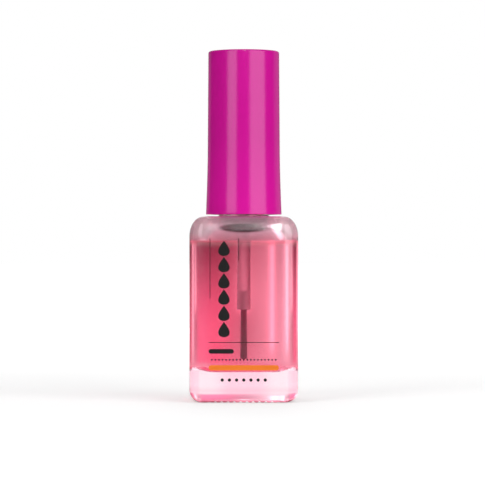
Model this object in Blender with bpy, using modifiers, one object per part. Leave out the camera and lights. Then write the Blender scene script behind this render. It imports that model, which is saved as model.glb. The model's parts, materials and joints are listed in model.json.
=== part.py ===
"""A cuticle oil bottle: square glass bottle, oil, and a tall screw cap that carries a brush.

Units are metres and +Z is up. The bottle stands on z = 0 with its axis on the Z axis and its
front panel towards -Y. The cap, its inner cap, the brush and the washer share that axis, so
every moving piece turns about it or slides along it.
"""

import math

import bmesh
import bpy
from mathutils import Matrix, Vector

# Clearances
SEAT_GAP = 0.0003
BUNDLE_FIT = 0.00015
STAPLE_FIT = 0.0001
OVERRUN = 0.0005

# Glass bottle, outside
BODY_WIDTH = 0.0260
BODY_HEIGHT = 0.0444
EDGE_RADIUS = 0.0038
DECK_CORNER_RADIUS = 0.0004
SHOULDER_DROP = 0.0048
DECK_RISE = 0.00025
BEARING_CORNER_RADIUS = 0.0009
BASE_RISE = 0.0029
BEARING_WIDTH = 0.0018
PUSH_UP = 0.0006
NOTCH_PITCH = 0.0015
NOTCH_RADIUS = 0.0003
NOTCH_START_SHARE = 0.5

# Glass bottle, inside
WALL = 0.0025
FLOOR_THICKNESS = 0.0072
FLOOR_RADIUS = 0.0015
CEILING_THICKNESS = 0.0024
CAVITY_EDGE_RADIUS = 0.0043
CEILING_CORNER_RADIUS = 0.0004
CAVITY_DROP = 0.0045
THROAT_RADIUS = 0.0012

# Neck of the bottle, a 13 mm finish with twelve threads to the inch
THREAD_WIDTH = 0.01306
THREAD_DEPTH = 0.00078
THREAD_CLEARANCE = 0.00017
THREAD_PITCH = 0.0254 / 12
OPENING_TURNS = 1.5
NECK_HEIGHT = 0.0112
NECK_BORE = 0.0066
NECK_FILLET = 0.0008
RIM_RADIUS = 0.0006

# Oil
HEADSPACE = 0.0034

# Overcap
CAP_GAP = 0.00045
CAP_HEIGHT = 0.03945
CAP_LOWER_WALL = 0.00122
CAP_WAIST_WALL = 0.00079
CAP_TAPER = 0.00016
CAP_FLARE_HEIGHT = 0.0152
CAP_FLARE_POWER = 1.5
CAP_TOP_RADIUS = 0.0005
CAP_UPPER_WALL = 0.0010
CAP_END_WALL = 0.0013
STOP_RIB_COUNT = 6
STOP_RIB_THICKNESS = 0.0008
STOP_RIB_REACH = 0.0014

# Inner cap
INNER_WALL = 0.00075
SKIRT_RECESS = 0.0004
WEB_THICKNESS = 0.0012
SHOULDER_CHAMFER = 0.0005
GRIP_RIB_COUNT = 16
GRIP_RIB_WIDTH = 0.0006
GRIP_RIB_HEIGHT = 0.0002
GRIP_RIB_MARGIN = 0.0010
SOCKET_WALL = 0.0010
SOCKET_HEIGHT = 0.0030

# Seal washer
WASHER_THICKNESS = 0.0008
WASHER_EDGE = 0.0002
WASHER_INSET = 0.0002

# Brush stem
STEM_WIDTH = 0.0032
STEM_END_CHAMFER = 0.0003
COLLAR_CLEARANCE = 0.0011
COLLAR_THICKNESS = 0.0015
PLUG_WIDTH = 0.0052
BARB_REACH = 0.0005
BARB_HEIGHT = 0.0012
BARB_LAND = 0.0004
BEAD_REACH = 0.0005
BEAD_HEIGHT = 0.0010

# Bristles and the staple that anchors them
TIP_CLEARANCE = 0.0028
BRISTLE_LENGTH = 0.0120
BUNDLE_WIDTH = 0.00134
BUNDLE_DEPTH = 0.0043
TIP_WIDTH = 0.0019
TIP_DOME = 0.0004
STRAND_COUNT = 320
STRAND_SIDES = 3
STRAND_ROOT_RADIUS = 0.000025
STRAND_TIP_RADIUS = 0.000020
STRAND_ROOT_DEPTH = 0.0002
STAPLE_THICKNESS = 0.00025
STAPLE_DEPTH = 0.0005
STAPLE_HEIGHT_SHARE = 0.8

# Facets
CORNER_STEPS = 8
ARC_STEPS = 5
SMALL_ARC_STEPS = 3
LARGE_TURN_STEPS = 48
SMALL_TURN_STEPS = 28
BORE_SIDES = 28
NOTCH_SIDES = 6
MERGE_DISTANCE = 0.000001
SHARP_ANGLE = math.radians(35)
QUARTER = math.pi / 2
GOLDEN_ANGLE = math.pi * (3 - math.sqrt(5))

# Heights that several pieces share, all worked out from the sizes above
RIM_HEIGHT = BODY_HEIGHT + NECK_HEIGHT
CEILING_HEIGHT = BODY_HEIGHT - CEILING_THICKNESS
OIL_LEVEL = CEILING_HEIGHT - HEADSPACE
CAP_EDGE_HEIGHT = BODY_HEIGHT + CAP_GAP
WASHER_HEIGHT = RIM_HEIGHT + SEAT_GAP
COLLAR_HEIGHT = WASHER_HEIGHT + WASHER_THICKNESS + SEAT_GAP
WEB_HEIGHT = COLLAR_HEIGHT + COLLAR_THICKNESS + SEAT_GAP
TIP_HEIGHT = FLOOR_THICKNESS + TIP_CLEARANCE
STEM_END_HEIGHT = TIP_HEIGHT + BRISTLE_LENGTH
THREAD_RISE = OPENING_TURNS * THREAD_PITCH

# Radii and insets that several pieces share
SHOULDER_INSET = EDGE_RADIUS - DECK_CORNER_RADIUS
BASE_INSET = EDGE_RADIUS - BEARING_CORNER_RADIUS
CAVITY_INSET = CAVITY_EDGE_RADIUS - CEILING_CORNER_RADIUS
NECK_RADIUS = THREAD_WIDTH / 2 - THREAD_DEPTH
STEM_RADIUS = STEM_WIDTH / 2
WASHER_HOLE_RADIUS = STEM_RADIUS + SEAT_GAP
BUNDLE_RADIUS = BUNDLE_WIDTH / 2
STEM_BORE_RADIUS = BUNDLE_RADIUS + BUNDLE_FIT
SKIRT_BORE_RADIUS = THREAD_WIDTH / 2 + THREAD_CLEARANCE
SKIRT_RADIUS = SKIRT_BORE_RADIUS + INNER_WALL
SOCKET_RADIUS = PLUG_WIDTH / 2 + SEAT_GAP
OVERCAP_BORE_RADIUS = SKIRT_RADIUS + GRIP_RIB_HEIGHT + SEAT_GAP


def clear_scene():
    for obj in list(bpy.data.objects):
        bpy.data.objects.remove(obj, do_unlink=True)


def new_collection(name):
    collection = bpy.data.collections.new(name)
    bpy.context.scene.collection.children.link(collection)
    return collection


def principled(name, colour, roughness, metallic=0.0, transmission=0.0, ior=1.45):
    """A Principled material from a linear colour."""
    material = bpy.data.materials.new(name)
    material.use_nodes = True
    shader = material.node_tree.nodes["Principled BSDF"]
    shader.inputs["Base Color"].default_value = (*colour, 1.0)
    shader.inputs["Roughness"].default_value = roughness
    shader.inputs["Metallic"].default_value = metallic
    shader.inputs["Transmission Weight"].default_value = transmission
    shader.inputs["IOR"].default_value = ior
    material.diffuse_color = (*colour, 1.0)
    return material


def shade(mesh):
    mesh.shade_smooth()
    mesh.set_sharp_from_angle(angle=SHARP_ANGLE)


def object_from(bm, name, collection, material=None):
    """A new object with this bmesh as its mesh."""
    mesh = bpy.data.meshes.new(name)
    bm.to_mesh(mesh)
    bm.free()
    shade(mesh)
    if material:
        mesh.materials.append(material)
    obj = bpy.data.objects.new(name, mesh)
    collection.objects.link(obj)
    return obj


def turned(name, profile, steps, collection, material):
    """A solid turned about Z. The (radius, height) points run down its outer side and back up."""
    bm = bmesh.new()
    corners = [bm.verts.new((radius, 0.0, height)) for radius, height in profile]
    for upper, lower in zip(corners, corners[1:]):
        bm.edges.new((upper, lower))
    if profile[0][0] > 0.0:
        bm.edges.new((corners[-1], corners[0]))
    obj = object_from(bm, name, collection, material)
    screw = obj.modifiers.new("Turn", "SCREW")
    screw.axis = "Z"
    screw.steps = steps
    screw.render_steps = steps
    screw.use_merge_vertices = True
    screw.merge_threshold = MERGE_DISTANCE
    screw.use_smooth_shade = True
    return obj


def cutter_from(bm, name, collection):
    """A helper object that a Boolean reads and a render leaves out."""
    obj = object_from(bm, name, collection)
    obj.display_type = "WIRE"
    obj.hide_render = True
    return obj


def boolean(obj, other, operation):
    """Cuts or joins the helper, which goes where the piece goes."""
    other.parent = obj
    modifier = obj.modifiers.new(other.name, "BOOLEAN")
    modifier.operation = operation
    modifier.object = other
    modifier.solver = "EXACT"


def seat(obj, axis, height):
    """Hangs a piece on its body's empty, with its datum at this height above the base."""
    obj.parent = axis
    obj.location = (0.0, 0.0, height - axis.location.z)


def axis_empty(name, height, collection):
    empty = bpy.data.objects.new(name, None)
    empty.location = (0.0, 0.0, height)
    empty.empty_display_size = THREAD_WIDTH
    collection.objects.link(empty)
    return empty


def quarter_turn(steps):
    """(sine, cosine) from 0 to 90 degrees."""
    angles = [QUARTER * step / steps for step in range(steps + 1)]
    return [(math.sin(angle), math.cos(angle)) for angle in angles]


def square_ring(half_width, corner_radius, height):
    """A level rounded square, counter-clockwise, with CORNER_STEPS spans in each corner."""
    reach = half_width - corner_radius
    ring = []
    for corner in range(4):
        middle = math.pi / 4 + QUARTER * corner
        centre = Vector((math.copysign(reach, math.cos(middle)),
                         math.copysign(reach, math.sin(middle)), height))
        for step in range(CORNER_STEPS + 1):
            angle = QUARTER * (corner + step / CORNER_STEPS)
            ring.append(centre + corner_radius * Vector((math.cos(angle), math.sin(angle), 0.0)))
    return ring


def round_ring(radius, height):
    """A level circle with as many points as a square_ring, in the same order."""
    count = 4 * (CORNER_STEPS + 1)
    angles = [math.tau * (step + 1 / 2) / count for step in range(count)]
    return [Vector((radius * math.cos(a), radius * math.sin(a), height)) for a in angles]


def loft(rings):
    """A closed skin through the rings, with a flat face across the first and the last."""
    bm = bmesh.new()
    rows = [[bm.verts.new(point) for point in ring] for ring in rings]
    for lower, upper in zip(rows, rows[1:]):
        for i in range(len(lower)):
            j = (i + 1) % len(lower)
            bm.faces.new((lower[i], lower[j], upper[j], upper[i]))
    bm.faces.new(list(reversed(rows[0])))
    bm.faces.new(rows[-1])
    return bm


def cavity_section(height, gap=0.0):
    """Half width and corner radius of the cavity at this height, for a skin kept gap clear of it."""
    inset = gap
    floor = FLOOR_THICKNESS + gap
    radius = FLOOR_RADIUS - gap
    if height < floor + radius:
        below = min(floor + radius - height, radius)
        inset += radius - math.sqrt(radius**2 - below**2)
    above = height + gap - (CEILING_HEIGHT - CAVITY_DROP)
    if above > 0.0:
        share = min(above / CAVITY_DROP, 1.0)
        inset += CAVITY_INSET * (1 - math.sqrt(1 - share**2))
    return BODY_WIDTH / 2 - WALL - inset, CAVITY_EDGE_RADIUS - inset


def floor_heights(gap=0.0):
    """Heights of the rings round the cavity's floor, lowest first."""
    floor = FLOOR_THICKNESS + gap
    radius = FLOOR_RADIUS - gap
    return [floor + radius * (1 - cosine) for _, cosine in quarter_turn(SMALL_ARC_STEPS)]


def ceiling_heights():
    """Heights of the rings round the cavity's shoulder, lowest first."""
    start = CEILING_HEIGHT - CAVITY_DROP
    return [start + CAVITY_DROP * sine for sine, _ in quarter_turn(ARC_STEPS)]


def outer_rings():
    """The glass from the push-up under the base, round the bearing ring, up to the neck."""
    half = BODY_WIDTH / 2
    bearing_inner = half - BASE_INSET - BEARING_WIDTH
    rings = [square_ring(bearing_inner - PUSH_UP, BEARING_CORNER_RADIUS, PUSH_UP)]
    rings.append(square_ring(bearing_inner, BEARING_CORNER_RADIUS, 0.0))
    for sine, cosine in quarter_turn(ARC_STEPS):
        inset = BASE_INSET * (1 - sine)
        rings.append(square_ring(half - inset, EDGE_RADIUS - inset, BASE_RISE * (1 - cosine)))
    shoulder_start = BODY_HEIGHT - DECK_RISE - SHOULDER_DROP
    for sine, cosine in quarter_turn(ARC_STEPS):
        inset = SHOULDER_INSET * (1 - cosine)
        height = shoulder_start + SHOULDER_DROP * sine
        rings.append(square_ring(half - inset, EDGE_RADIUS - inset, height))
    return rings


def neck_rings():
    """The neck from its root fillet up to the rim and down its bore to the cavity's ceiling."""
    bore = NECK_BORE / 2
    turn = quarter_turn(SMALL_ARC_STEPS)
    root = [(NECK_RADIUS + NECK_FILLET * (1 - sine), BODY_HEIGHT + NECK_FILLET * (1 - cosine))
            for sine, cosine in turn]
    rim_outer = [(NECK_RADIUS - RIM_RADIUS * (1 - cosine), RIM_HEIGHT - RIM_RADIUS * (1 - sine))
                 for sine, cosine in turn]
    rim_inner = [(bore + RIM_RADIUS * (1 - sine), RIM_HEIGHT - RIM_RADIUS * (1 - cosine))
                 for sine, cosine in turn]
    throat = [(bore + THROAT_RADIUS * (1 - cosine), CEILING_HEIGHT + THROAT_RADIUS * (1 - sine))
              for sine, cosine in turn]
    return [round_ring(radius, height) for radius, height in root + rim_outer + rim_inner + throat]


def cavity_rings():
    """The cavity from its ceiling down to its floor."""
    heights = floor_heights() + ceiling_heights()
    return [square_ring(*cavity_section(height), height) for height in reversed(heights)]


def notch_cutter(name, turn, collection):
    """Short bars across the outer edge of the bearing ring, on two opposite sides."""
    straight = BODY_WIDTH - 2 * EDGE_RADIUS
    count = int(straight / NOTCH_PITCH / 2) * 2
    start = BODY_WIDTH / 2 - BASE_INSET - NOTCH_START_SHARE * BEARING_WIDTH
    length = BODY_WIDTH / 2 + OVERRUN - start
    bm = bmesh.new()
    for side in (0.0, math.pi):
        for index in range(count):
            place = Vector(((index - (count - 1) / 2) * NOTCH_PITCH, start + length / 2, 0.0))
            lay_flat = Matrix.Rotation(QUARTER, 4, "X")
            matrix = Matrix.Rotation(side + turn, 4, "Z") @ Matrix.Translation(place) @ lay_flat
            bmesh.ops.create_cone(bm, cap_ends=True, segments=NOTCH_SIDES, radius1=NOTCH_RADIUS,
                                  radius2=NOTCH_RADIUS, depth=length, matrix=matrix)
    return cutter_from(bm, name, collection)


def make_bottle_glass(parts, cutters):
    """Thick-walled bottle with a square body, a round neck and a notched bearing ring."""
    material = principled("Flint glass", (0.95, 0.95, 0.96), 0.02, transmission=1.0, ior=1.52)
    bm = loft(outer_rings() + neck_rings() + cavity_rings())
    bottle = object_from(bm, "bottle_glass", parts, material)
    boolean(bottle, notch_cutter("notches_front_back", 0.0, cutters), "DIFFERENCE")
    boolean(bottle, notch_cutter("notches_left_right", QUARTER, cutters), "DIFFERENCE")
    return bottle


def make_oil(parts, cutters):
    """The fill, as high as the level, with a straight well where the brush hangs in it."""
    material = principled("Pink oil", (0.85, 0.10, 0.22), 0.0, transmission=1.0, ior=1.47)
    sides = [height for height in ceiling_heights() if height + SEAT_GAP < OIL_LEVEL]
    heights = floor_heights(SEAT_GAP) + sides + [OIL_LEVEL]
    bm = loft([square_ring(*cavity_section(height, SEAT_GAP), height) for height in heights])
    oil = object_from(bm, "oil", parts, material)
    well_floor = TIP_HEIGHT - SEAT_GAP
    well_top = OIL_LEVEL + OVERRUN
    well_radius = max(STEM_RADIUS, TIP_WIDTH / 2) + SEAT_GAP
    middle = Matrix.Translation((0.0, 0.0, (well_floor + well_top) / 2))
    bm = bmesh.new()
    bmesh.ops.create_cone(bm, cap_ends=True, segments=BORE_SIDES, radius1=well_radius,
                          radius2=well_radius, depth=well_top - well_floor, matrix=middle)
    boolean(oil, cutter_from(bm, "brush_well", cutters), "DIFFERENCE")
    return oil


def overcap_radius(height):
    """Outer radius of the overcap at a height above its lower edge: nearly straight, then flared."""
    waist = OVERCAP_BORE_RADIUS + CAP_WAIST_WALL
    if height < CAP_FLARE_HEIGHT:
        flare = CAP_LOWER_WALL - CAP_WAIST_WALL
        return waist + flare * (1 - height / CAP_FLARE_HEIGHT) ** CAP_FLARE_POWER
    return waist - CAP_TAPER * (height - CAP_FLARE_HEIGHT) / (CAP_HEIGHT - CAP_FLARE_HEIGHT)


def make_overcap(parts, cutters):
    """Tall moulded shell, closed at the top, with ribs inside that stop on the inner cap."""
    material = principled("Magenta polypropylene", (0.60, 0.012, 0.30), 0.28)
    ledge = WEB_HEIGHT + WEB_THICKNESS + SEAT_GAP - CAP_EDGE_HEIGHT
    ceiling = CAP_HEIGHT - CAP_END_WALL
    fillet_start = CAP_HEIGHT - CAP_TOP_RADIUS
    profile = [(0.0, CAP_HEIGHT)]
    for sine, cosine in quarter_turn(SMALL_ARC_STEPS):
        profile.append((overcap_radius(fillet_start) - CAP_TOP_RADIUS * (1 - sine),
                        fillet_start + CAP_TOP_RADIUS * cosine))
    for step in range(ARC_STEPS + 1):
        height = CAP_FLARE_HEIGHT * (1 - step / ARC_STEPS)
        profile.append((overcap_radius(height), height))
    profile += [(OVERCAP_BORE_RADIUS, 0.0), (OVERCAP_BORE_RADIUS, ledge)]
    upper_bore = min(OVERCAP_BORE_RADIUS, overcap_radius(ledge) - CAP_UPPER_WALL)
    top_bore = min(upper_bore, overcap_radius(ceiling) - CAP_UPPER_WALL)
    profile += [(upper_bore, ledge), (top_bore, ceiling), (0.0, ceiling)]
    overcap = turned("overcap", profile, LARGE_TURN_STEPS, parts, material)
    bm = bmesh.new()
    reach = OVERCAP_BORE_RADIUS - upper_bore + STOP_RIB_REACH
    size = Vector((reach, STOP_RIB_THICKNESS, ceiling - ledge + OVERRUN))
    centre = Vector((OVERCAP_BORE_RADIUS - reach / 2, 0.0, ledge + size.z / 2))
    for index in range(STOP_RIB_COUNT):
        turn = Matrix.Rotation(math.tau * index / STOP_RIB_COUNT, 4, "Z")
        matrix = turn @ Matrix.Translation(centre) @ Matrix.Diagonal((*size, 1.0))
        bmesh.ops.create_cube(bm, size=1.0, matrix=matrix)
    boolean(overcap, cutter_from(bm, "stop_ribs", cutters), "UNION")
    return overcap


def make_inner_cap(parts, cutters):
    """Ferrule round the neck: skirt, end wall, a socket for the brush and ribs that grip the overcap."""
    material = principled("White polypropylene", (0.80, 0.80, 0.79), 0.45)
    datum = CAP_EDGE_HEIGHT + SKIRT_RECESS
    web_low = WEB_HEIGHT - datum
    web_high = web_low + WEB_THICKNESS
    socket_top = web_high + SOCKET_HEIGHT
    profile = [
        (SOCKET_RADIUS + SOCKET_WALL, socket_top),
        (SOCKET_RADIUS + SOCKET_WALL, web_high),
        (SKIRT_RADIUS - SHOULDER_CHAMFER, web_high),
        (SKIRT_RADIUS, web_high - SHOULDER_CHAMFER),
        (SKIRT_RADIUS, 0.0),
        (SKIRT_BORE_RADIUS, 0.0),
        (SKIRT_BORE_RADIUS, web_low),
        (SOCKET_RADIUS, web_low),
        (SOCKET_RADIUS, socket_top),
    ]
    inner_cap = turned("inner_cap", profile, LARGE_TURN_STEPS, parts, material)
    bm = bmesh.new()
    length = web_high - SHOULDER_CHAMFER - 2 * GRIP_RIB_MARGIN
    depth = GRIP_RIB_HEIGHT + INNER_WALL / 2
    size = Vector((depth, GRIP_RIB_WIDTH, length))
    centre = Vector((SKIRT_RADIUS + GRIP_RIB_HEIGHT - depth / 2, 0.0, GRIP_RIB_MARGIN + length / 2))
    for index in range(GRIP_RIB_COUNT):
        turn = Matrix.Rotation(math.tau * index / GRIP_RIB_COUNT, 4, "Z")
        matrix = turn @ Matrix.Translation(centre) @ Matrix.Diagonal((*size, 1.0))
        bmesh.ops.create_cube(bm, size=1.0, matrix=matrix)
    boolean(inner_cap, cutter_from(bm, "grip_ribs", cutters), "UNION")
    return inner_cap


def make_seal_washer(parts):
    """Flat washer that lies on the glass rim and rides loosely on the stem."""
    material = principled("Expanded polyethylene", (0.85, 0.85, 0.83), 0.7)
    outer = NECK_RADIUS - WASHER_INSET
    profile = [
        (outer - WASHER_EDGE, WASHER_THICKNESS),
        (outer, WASHER_THICKNESS - WASHER_EDGE),
        (outer, WASHER_EDGE),
        (outer - WASHER_EDGE, 0.0),
        (WASHER_HOLE_RADIUS, 0.0),
        (WASHER_HOLE_RADIUS, WASHER_THICKNESS),
    ]
    return turned("seal_washer", profile, SMALL_TURN_STEPS, parts, material)


def make_brush_stem(parts):
    """Rod with a collar, a barbed plug above it, a bead that keeps the washer on, and a blind bore."""
    material = principled("Natural polyethylene", (0.86, 0.86, 0.84), 0.35, transmission=0.6, ior=1.51)
    plug = PLUG_WIDTH / 2
    collar = SKIRT_BORE_RADIUS - COLLAR_CLEARANCE
    barb_low = COLLAR_THICKNESS + SEAT_GAP + WEB_THICKNESS + SOCKET_HEIGHT + SEAT_GAP
    barb_high = barb_low + BARB_HEIGHT
    bead_top = -(SEAT_GAP + WASHER_THICKNESS + THREAD_RISE + SEAT_GAP)
    bead = STEM_RADIUS + BEAD_REACH
    end = STEM_END_HEIGHT - COLLAR_HEIGHT
    profile = [
        (0.0, barb_high),
        (plug, barb_high),
        (plug + BARB_REACH, barb_low + BARB_LAND),
        (plug + BARB_REACH, barb_low),
        (plug, barb_low),
        (plug, COLLAR_THICKNESS),
        (collar, COLLAR_THICKNESS),
        (collar, 0.0),
        (STEM_RADIUS, 0.0),
        (STEM_RADIUS, bead_top),
        (bead, bead_top - BEAD_HEIGHT / 4),
        (bead, bead_top - BEAD_HEIGHT / 2),
        (STEM_RADIUS, bead_top - BEAD_HEIGHT),
        (STEM_RADIUS, end + STEM_END_CHAMFER),
        (STEM_RADIUS - STEM_END_CHAMFER, end),
        (STEM_BORE_RADIUS, end),
        (STEM_BORE_RADIUS, end + BUNDLE_DEPTH + BUNDLE_FIT),
        (0.0, end + BUNDLE_DEPTH + BUNDLE_FIT),
    ]
    return turned("brush_stem", profile, SMALL_TURN_STEPS, parts, material)


def make_staple(parts):
    """Flat wire across the stem's bore, which the bundle is folded over."""
    material = principled("Nickel-plated steel wire", (0.62, 0.60, 0.57), 0.3, metallic=1.0)
    length = 2 * (STEM_BORE_RADIUS - STAPLE_FIT)
    size = Matrix.Diagonal((length, STAPLE_THICKNESS, STAPLE_DEPTH, 1.0))
    bm = bmesh.new()
    bmesh.ops.create_cube(bm, size=1.0, matrix=size)
    staple = object_from(bm, "staple", parts, material)
    bevel = staple.modifiers.new("Rounded edges", "BEVEL")
    bevel.width = STAPLE_THICKNESS / 4
    bevel.segments = 1
    return staple


def strand_mesh():
    """Straight tapered strands that fan out evenly from the bundle, so none crosses another."""
    bm = bmesh.new()
    up = Vector((0.0, 0.0, 1.0))
    for index in range(STRAND_COUNT):
        share = math.sqrt((index + 1 / 2) / STRAND_COUNT)
        heading = Vector((math.cos(index * GOLDEN_ANGLE), math.sin(index * GOLDEN_ANGLE), 0.0))
        root = heading * share * (BUNDLE_RADIUS - 2 * STRAND_ROOT_RADIUS) + up * STRAND_ROOT_DEPTH
        tip = heading * share * (TIP_WIDTH / 2 - STRAND_TIP_RADIUS)
        tip -= up * (BRISTLE_LENGTH - TIP_DOME * share**2)
        run = tip - root
        aim = up.rotation_difference(run).to_matrix().to_4x4()
        bmesh.ops.create_cone(bm, cap_ends=True, segments=STRAND_SIDES, radius1=STRAND_ROOT_RADIUS,
                              radius2=STRAND_TIP_RADIUS, depth=run.length,
                              matrix=Matrix.Translation((root + tip) / 2) @ aim)
    return bm


def make_bristle_tuft(parts, cutters):
    """The packed end of the bundle in the stem's bore, with the free strands below it."""
    material = principled("Dark nylon filament", (0.045, 0.012, 0.018), 0.5)
    bm = bmesh.new()
    bmesh.ops.create_cone(bm, cap_ends=True, segments=BORE_SIDES, radius1=BUNDLE_RADIUS,
                          radius2=BUNDLE_RADIUS, depth=BUNDLE_DEPTH,
                          matrix=Matrix.Translation((0.0, 0.0, BUNDLE_DEPTH / 2)))
    tuft = object_from(bm, "bristle_tuft", parts, material)
    slot = (2 * STEM_BORE_RADIUS, STAPLE_THICKNESS + 2 * STAPLE_FIT, STAPLE_DEPTH + 2 * STAPLE_FIT)
    bm = bmesh.new()
    place = Matrix.Translation((0.0, 0.0, STAPLE_HEIGHT_SHARE * BUNDLE_DEPTH))
    bmesh.ops.create_cube(bm, size=1.0, matrix=place @ Matrix.Diagonal((*slot, 1.0)))
    boolean(tuft, cutter_from(bm, "staple_slot", cutters), "DIFFERENCE")
    boolean(tuft, cutter_from(strand_mesh(), "free_strands", cutters), "UNION")
    return tuft


def main():
    clear_scene()
    parts = new_collection("cuticle_oil_bottle")
    cutters = new_collection("cutters")

    bottle_axis = axis_empty("bottle_axis", 0.0, parts)
    washer_axis = axis_empty("washer_axis", WASHER_HEIGHT, parts)
    brush_axis = axis_empty("brush_axis", COLLAR_HEIGHT, parts)
    cap_axis = axis_empty("cap_axis", CAP_EDGE_HEIGHT, parts)

    seat(make_bottle_glass(parts, cutters), bottle_axis, 0.0)
    seat(make_oil(parts, cutters), bottle_axis, 0.0)
    seat(make_seal_washer(parts), washer_axis, WASHER_HEIGHT)
    seat(make_brush_stem(parts), brush_axis, COLLAR_HEIGHT)
    seat(make_staple(parts), brush_axis, STEM_END_HEIGHT + STAPLE_HEIGHT_SHARE * BUNDLE_DEPTH)
    seat(make_bristle_tuft(parts, cutters), brush_axis, STEM_END_HEIGHT)
    seat(make_overcap(parts, cutters), cap_axis, CAP_EDGE_HEIGHT)
    seat(make_inner_cap(parts, cutters), cap_axis, CAP_EDGE_HEIGHT + SKIRT_RECESS)


main()
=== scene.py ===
"""Cuticle oil bottle: glass, oil, print, cap and brush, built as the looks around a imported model.

The file is laid out as a Blender add-on and is run as a script. Everything is in metres in the
model's own frame: +Z up the bottle's axis, the front panel towards -Y, the base on z = 0.
"""

import json
import math

import bmesh
import bpy
from mathutils import Matrix, Vector

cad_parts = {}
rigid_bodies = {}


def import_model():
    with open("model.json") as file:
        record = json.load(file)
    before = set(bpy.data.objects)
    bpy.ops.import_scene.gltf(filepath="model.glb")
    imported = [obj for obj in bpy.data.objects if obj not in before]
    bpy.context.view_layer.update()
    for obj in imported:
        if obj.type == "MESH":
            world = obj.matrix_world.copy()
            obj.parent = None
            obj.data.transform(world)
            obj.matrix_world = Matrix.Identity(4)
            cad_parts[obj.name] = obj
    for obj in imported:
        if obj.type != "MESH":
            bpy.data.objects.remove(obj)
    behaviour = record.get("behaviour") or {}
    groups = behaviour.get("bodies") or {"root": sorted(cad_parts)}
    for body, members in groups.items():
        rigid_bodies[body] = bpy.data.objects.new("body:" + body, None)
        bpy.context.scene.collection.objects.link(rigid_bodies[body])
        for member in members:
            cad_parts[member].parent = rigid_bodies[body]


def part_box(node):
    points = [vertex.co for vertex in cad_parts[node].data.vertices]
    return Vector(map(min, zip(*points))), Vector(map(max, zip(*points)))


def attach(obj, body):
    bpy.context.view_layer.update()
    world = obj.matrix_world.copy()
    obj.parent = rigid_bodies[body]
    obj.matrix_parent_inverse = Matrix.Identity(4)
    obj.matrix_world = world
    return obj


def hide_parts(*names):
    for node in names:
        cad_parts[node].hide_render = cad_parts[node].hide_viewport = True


bl_info = {
    "name": "Cuticle Oil Bottle",
    "version": (1, 0, 0),
    "blender": (4, 5, 0),
    "location": "3D View > Sidebar > Oil Bottle",
    "description": "Makes a square glass bottle of pink oil, its print, its screw cap and its brush",
    "category": "Add Mesh",
}

for startup_object in list(bpy.data.objects):
    bpy.data.objects.remove(startup_object, do_unlink=True)

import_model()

MM = 0.001
UM = 0.000001
QUARTER = math.pi / 2
GOLDEN_ANGLE = math.pi * (3 - math.sqrt(5))
WHITE = (1.0, 1.0, 1.0, 1.0)

# Kinds of socket that are used again and again
GEOMETRY = "NodeSocketGeometry"
FLOAT = "NodeSocketFloat"
INT = "NodeSocketInt"

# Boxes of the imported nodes, which the pieces here stand for
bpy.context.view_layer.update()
GLASS_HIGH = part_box("bottle_glass")[1]
OIL_LOW, OIL_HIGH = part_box("oil")
OVERCAP_LOW, OVERCAP_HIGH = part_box("overcap")
INNER_LOW, INNER_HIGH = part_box("inner_cap")
WASHER_LOW, WASHER_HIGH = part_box("seal_washer")
STEM_LOW, STEM_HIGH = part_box("brush_stem")
STAPLE_LOW, STAPLE_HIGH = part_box("staple")
TUFT_LOW, TUFT_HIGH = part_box("bristle_tuft")

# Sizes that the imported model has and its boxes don't give
SEAT_GAP = 0.3 * MM
BODY_HEIGHT = 44.4 * MM
FLOOR_HEIGHT = OIL_LOW.z - SEAT_GAP
CEILING_HEIGHT = 42.0 * MM
THREAD_PITCH = 25.4 / 12 * MM
STEM_RADIUS = 1.6 * MM
BUNDLE_RADIUS = 0.67 * MM
STEM_BORE_RADIUS = 0.82 * MM

# Neck and threads
DECK_FALL = 0.05 * MM
NECK_FILLET = 0.8 * MM
RIM_RADIUS = 0.6 * MM
THROAT_RADIUS = 1.2 * MM
THREAD_ROOT_DEPTH = 0.12 * MM
NECK_THREAD_WIDTH = 1.1 * MM
NECK_THREAD_TURNS = 1.6
NECK_THREAD_START = 50.9 * MM
CAP_THREAD_WIDTH = 0.76 * MM
CAP_THREAD_DEPTH = 0.75 * MM
CAP_THREAD_TURNS = 1.5
CAP_THREAD_START = 52.2 * MM
THREAD_RUN_OUT = 0.22
THREAD_STEPS = 160
THREAD_SIDES = 20

# Steps of the round stretches
CORNER_STEPS = 16
SIDE_STEPS = 20
ARC_STEPS = 12
FILLET_STEPS = 6
TURN_STEPS = 128
STRAND_SIDES = 4
STRAND_SEGMENTS = 5
STRAND_TAPER = 0.6
STRAND_CURVE = 2.0
SHARP_ANGLE = math.radians(32)
MERGE_DISTANCE = 1 * UM
EDGE_LOOP_OFFSET = 0.35 * MM


def linear(code):
    """A linear colour from an sRGB hex code such as #C8148C."""
    parts = [int(code[i:i + 2], 16) / 255 for i in (1, 3, 5)]
    return tuple(part / 12.92 if part <= 0.04045 else ((part + 0.055) / 1.055) ** 2.4 for part in parts)


def length(name, description, default):
    """A distance that the sidebar shows in metres."""
    return bpy.props.FloatProperty(name=name, description=description, default=default,
                                   min=0.0, precision=5, subtype="DISTANCE", unit="LENGTH")


def colour(name, description, code):
    """A colour that the sidebar shows as a swatch."""
    return bpy.props.FloatVectorProperty(name=name, description=description, default=linear(code),
                                         size=3, min=0.0, max=1.0, subtype="COLOR")


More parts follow.
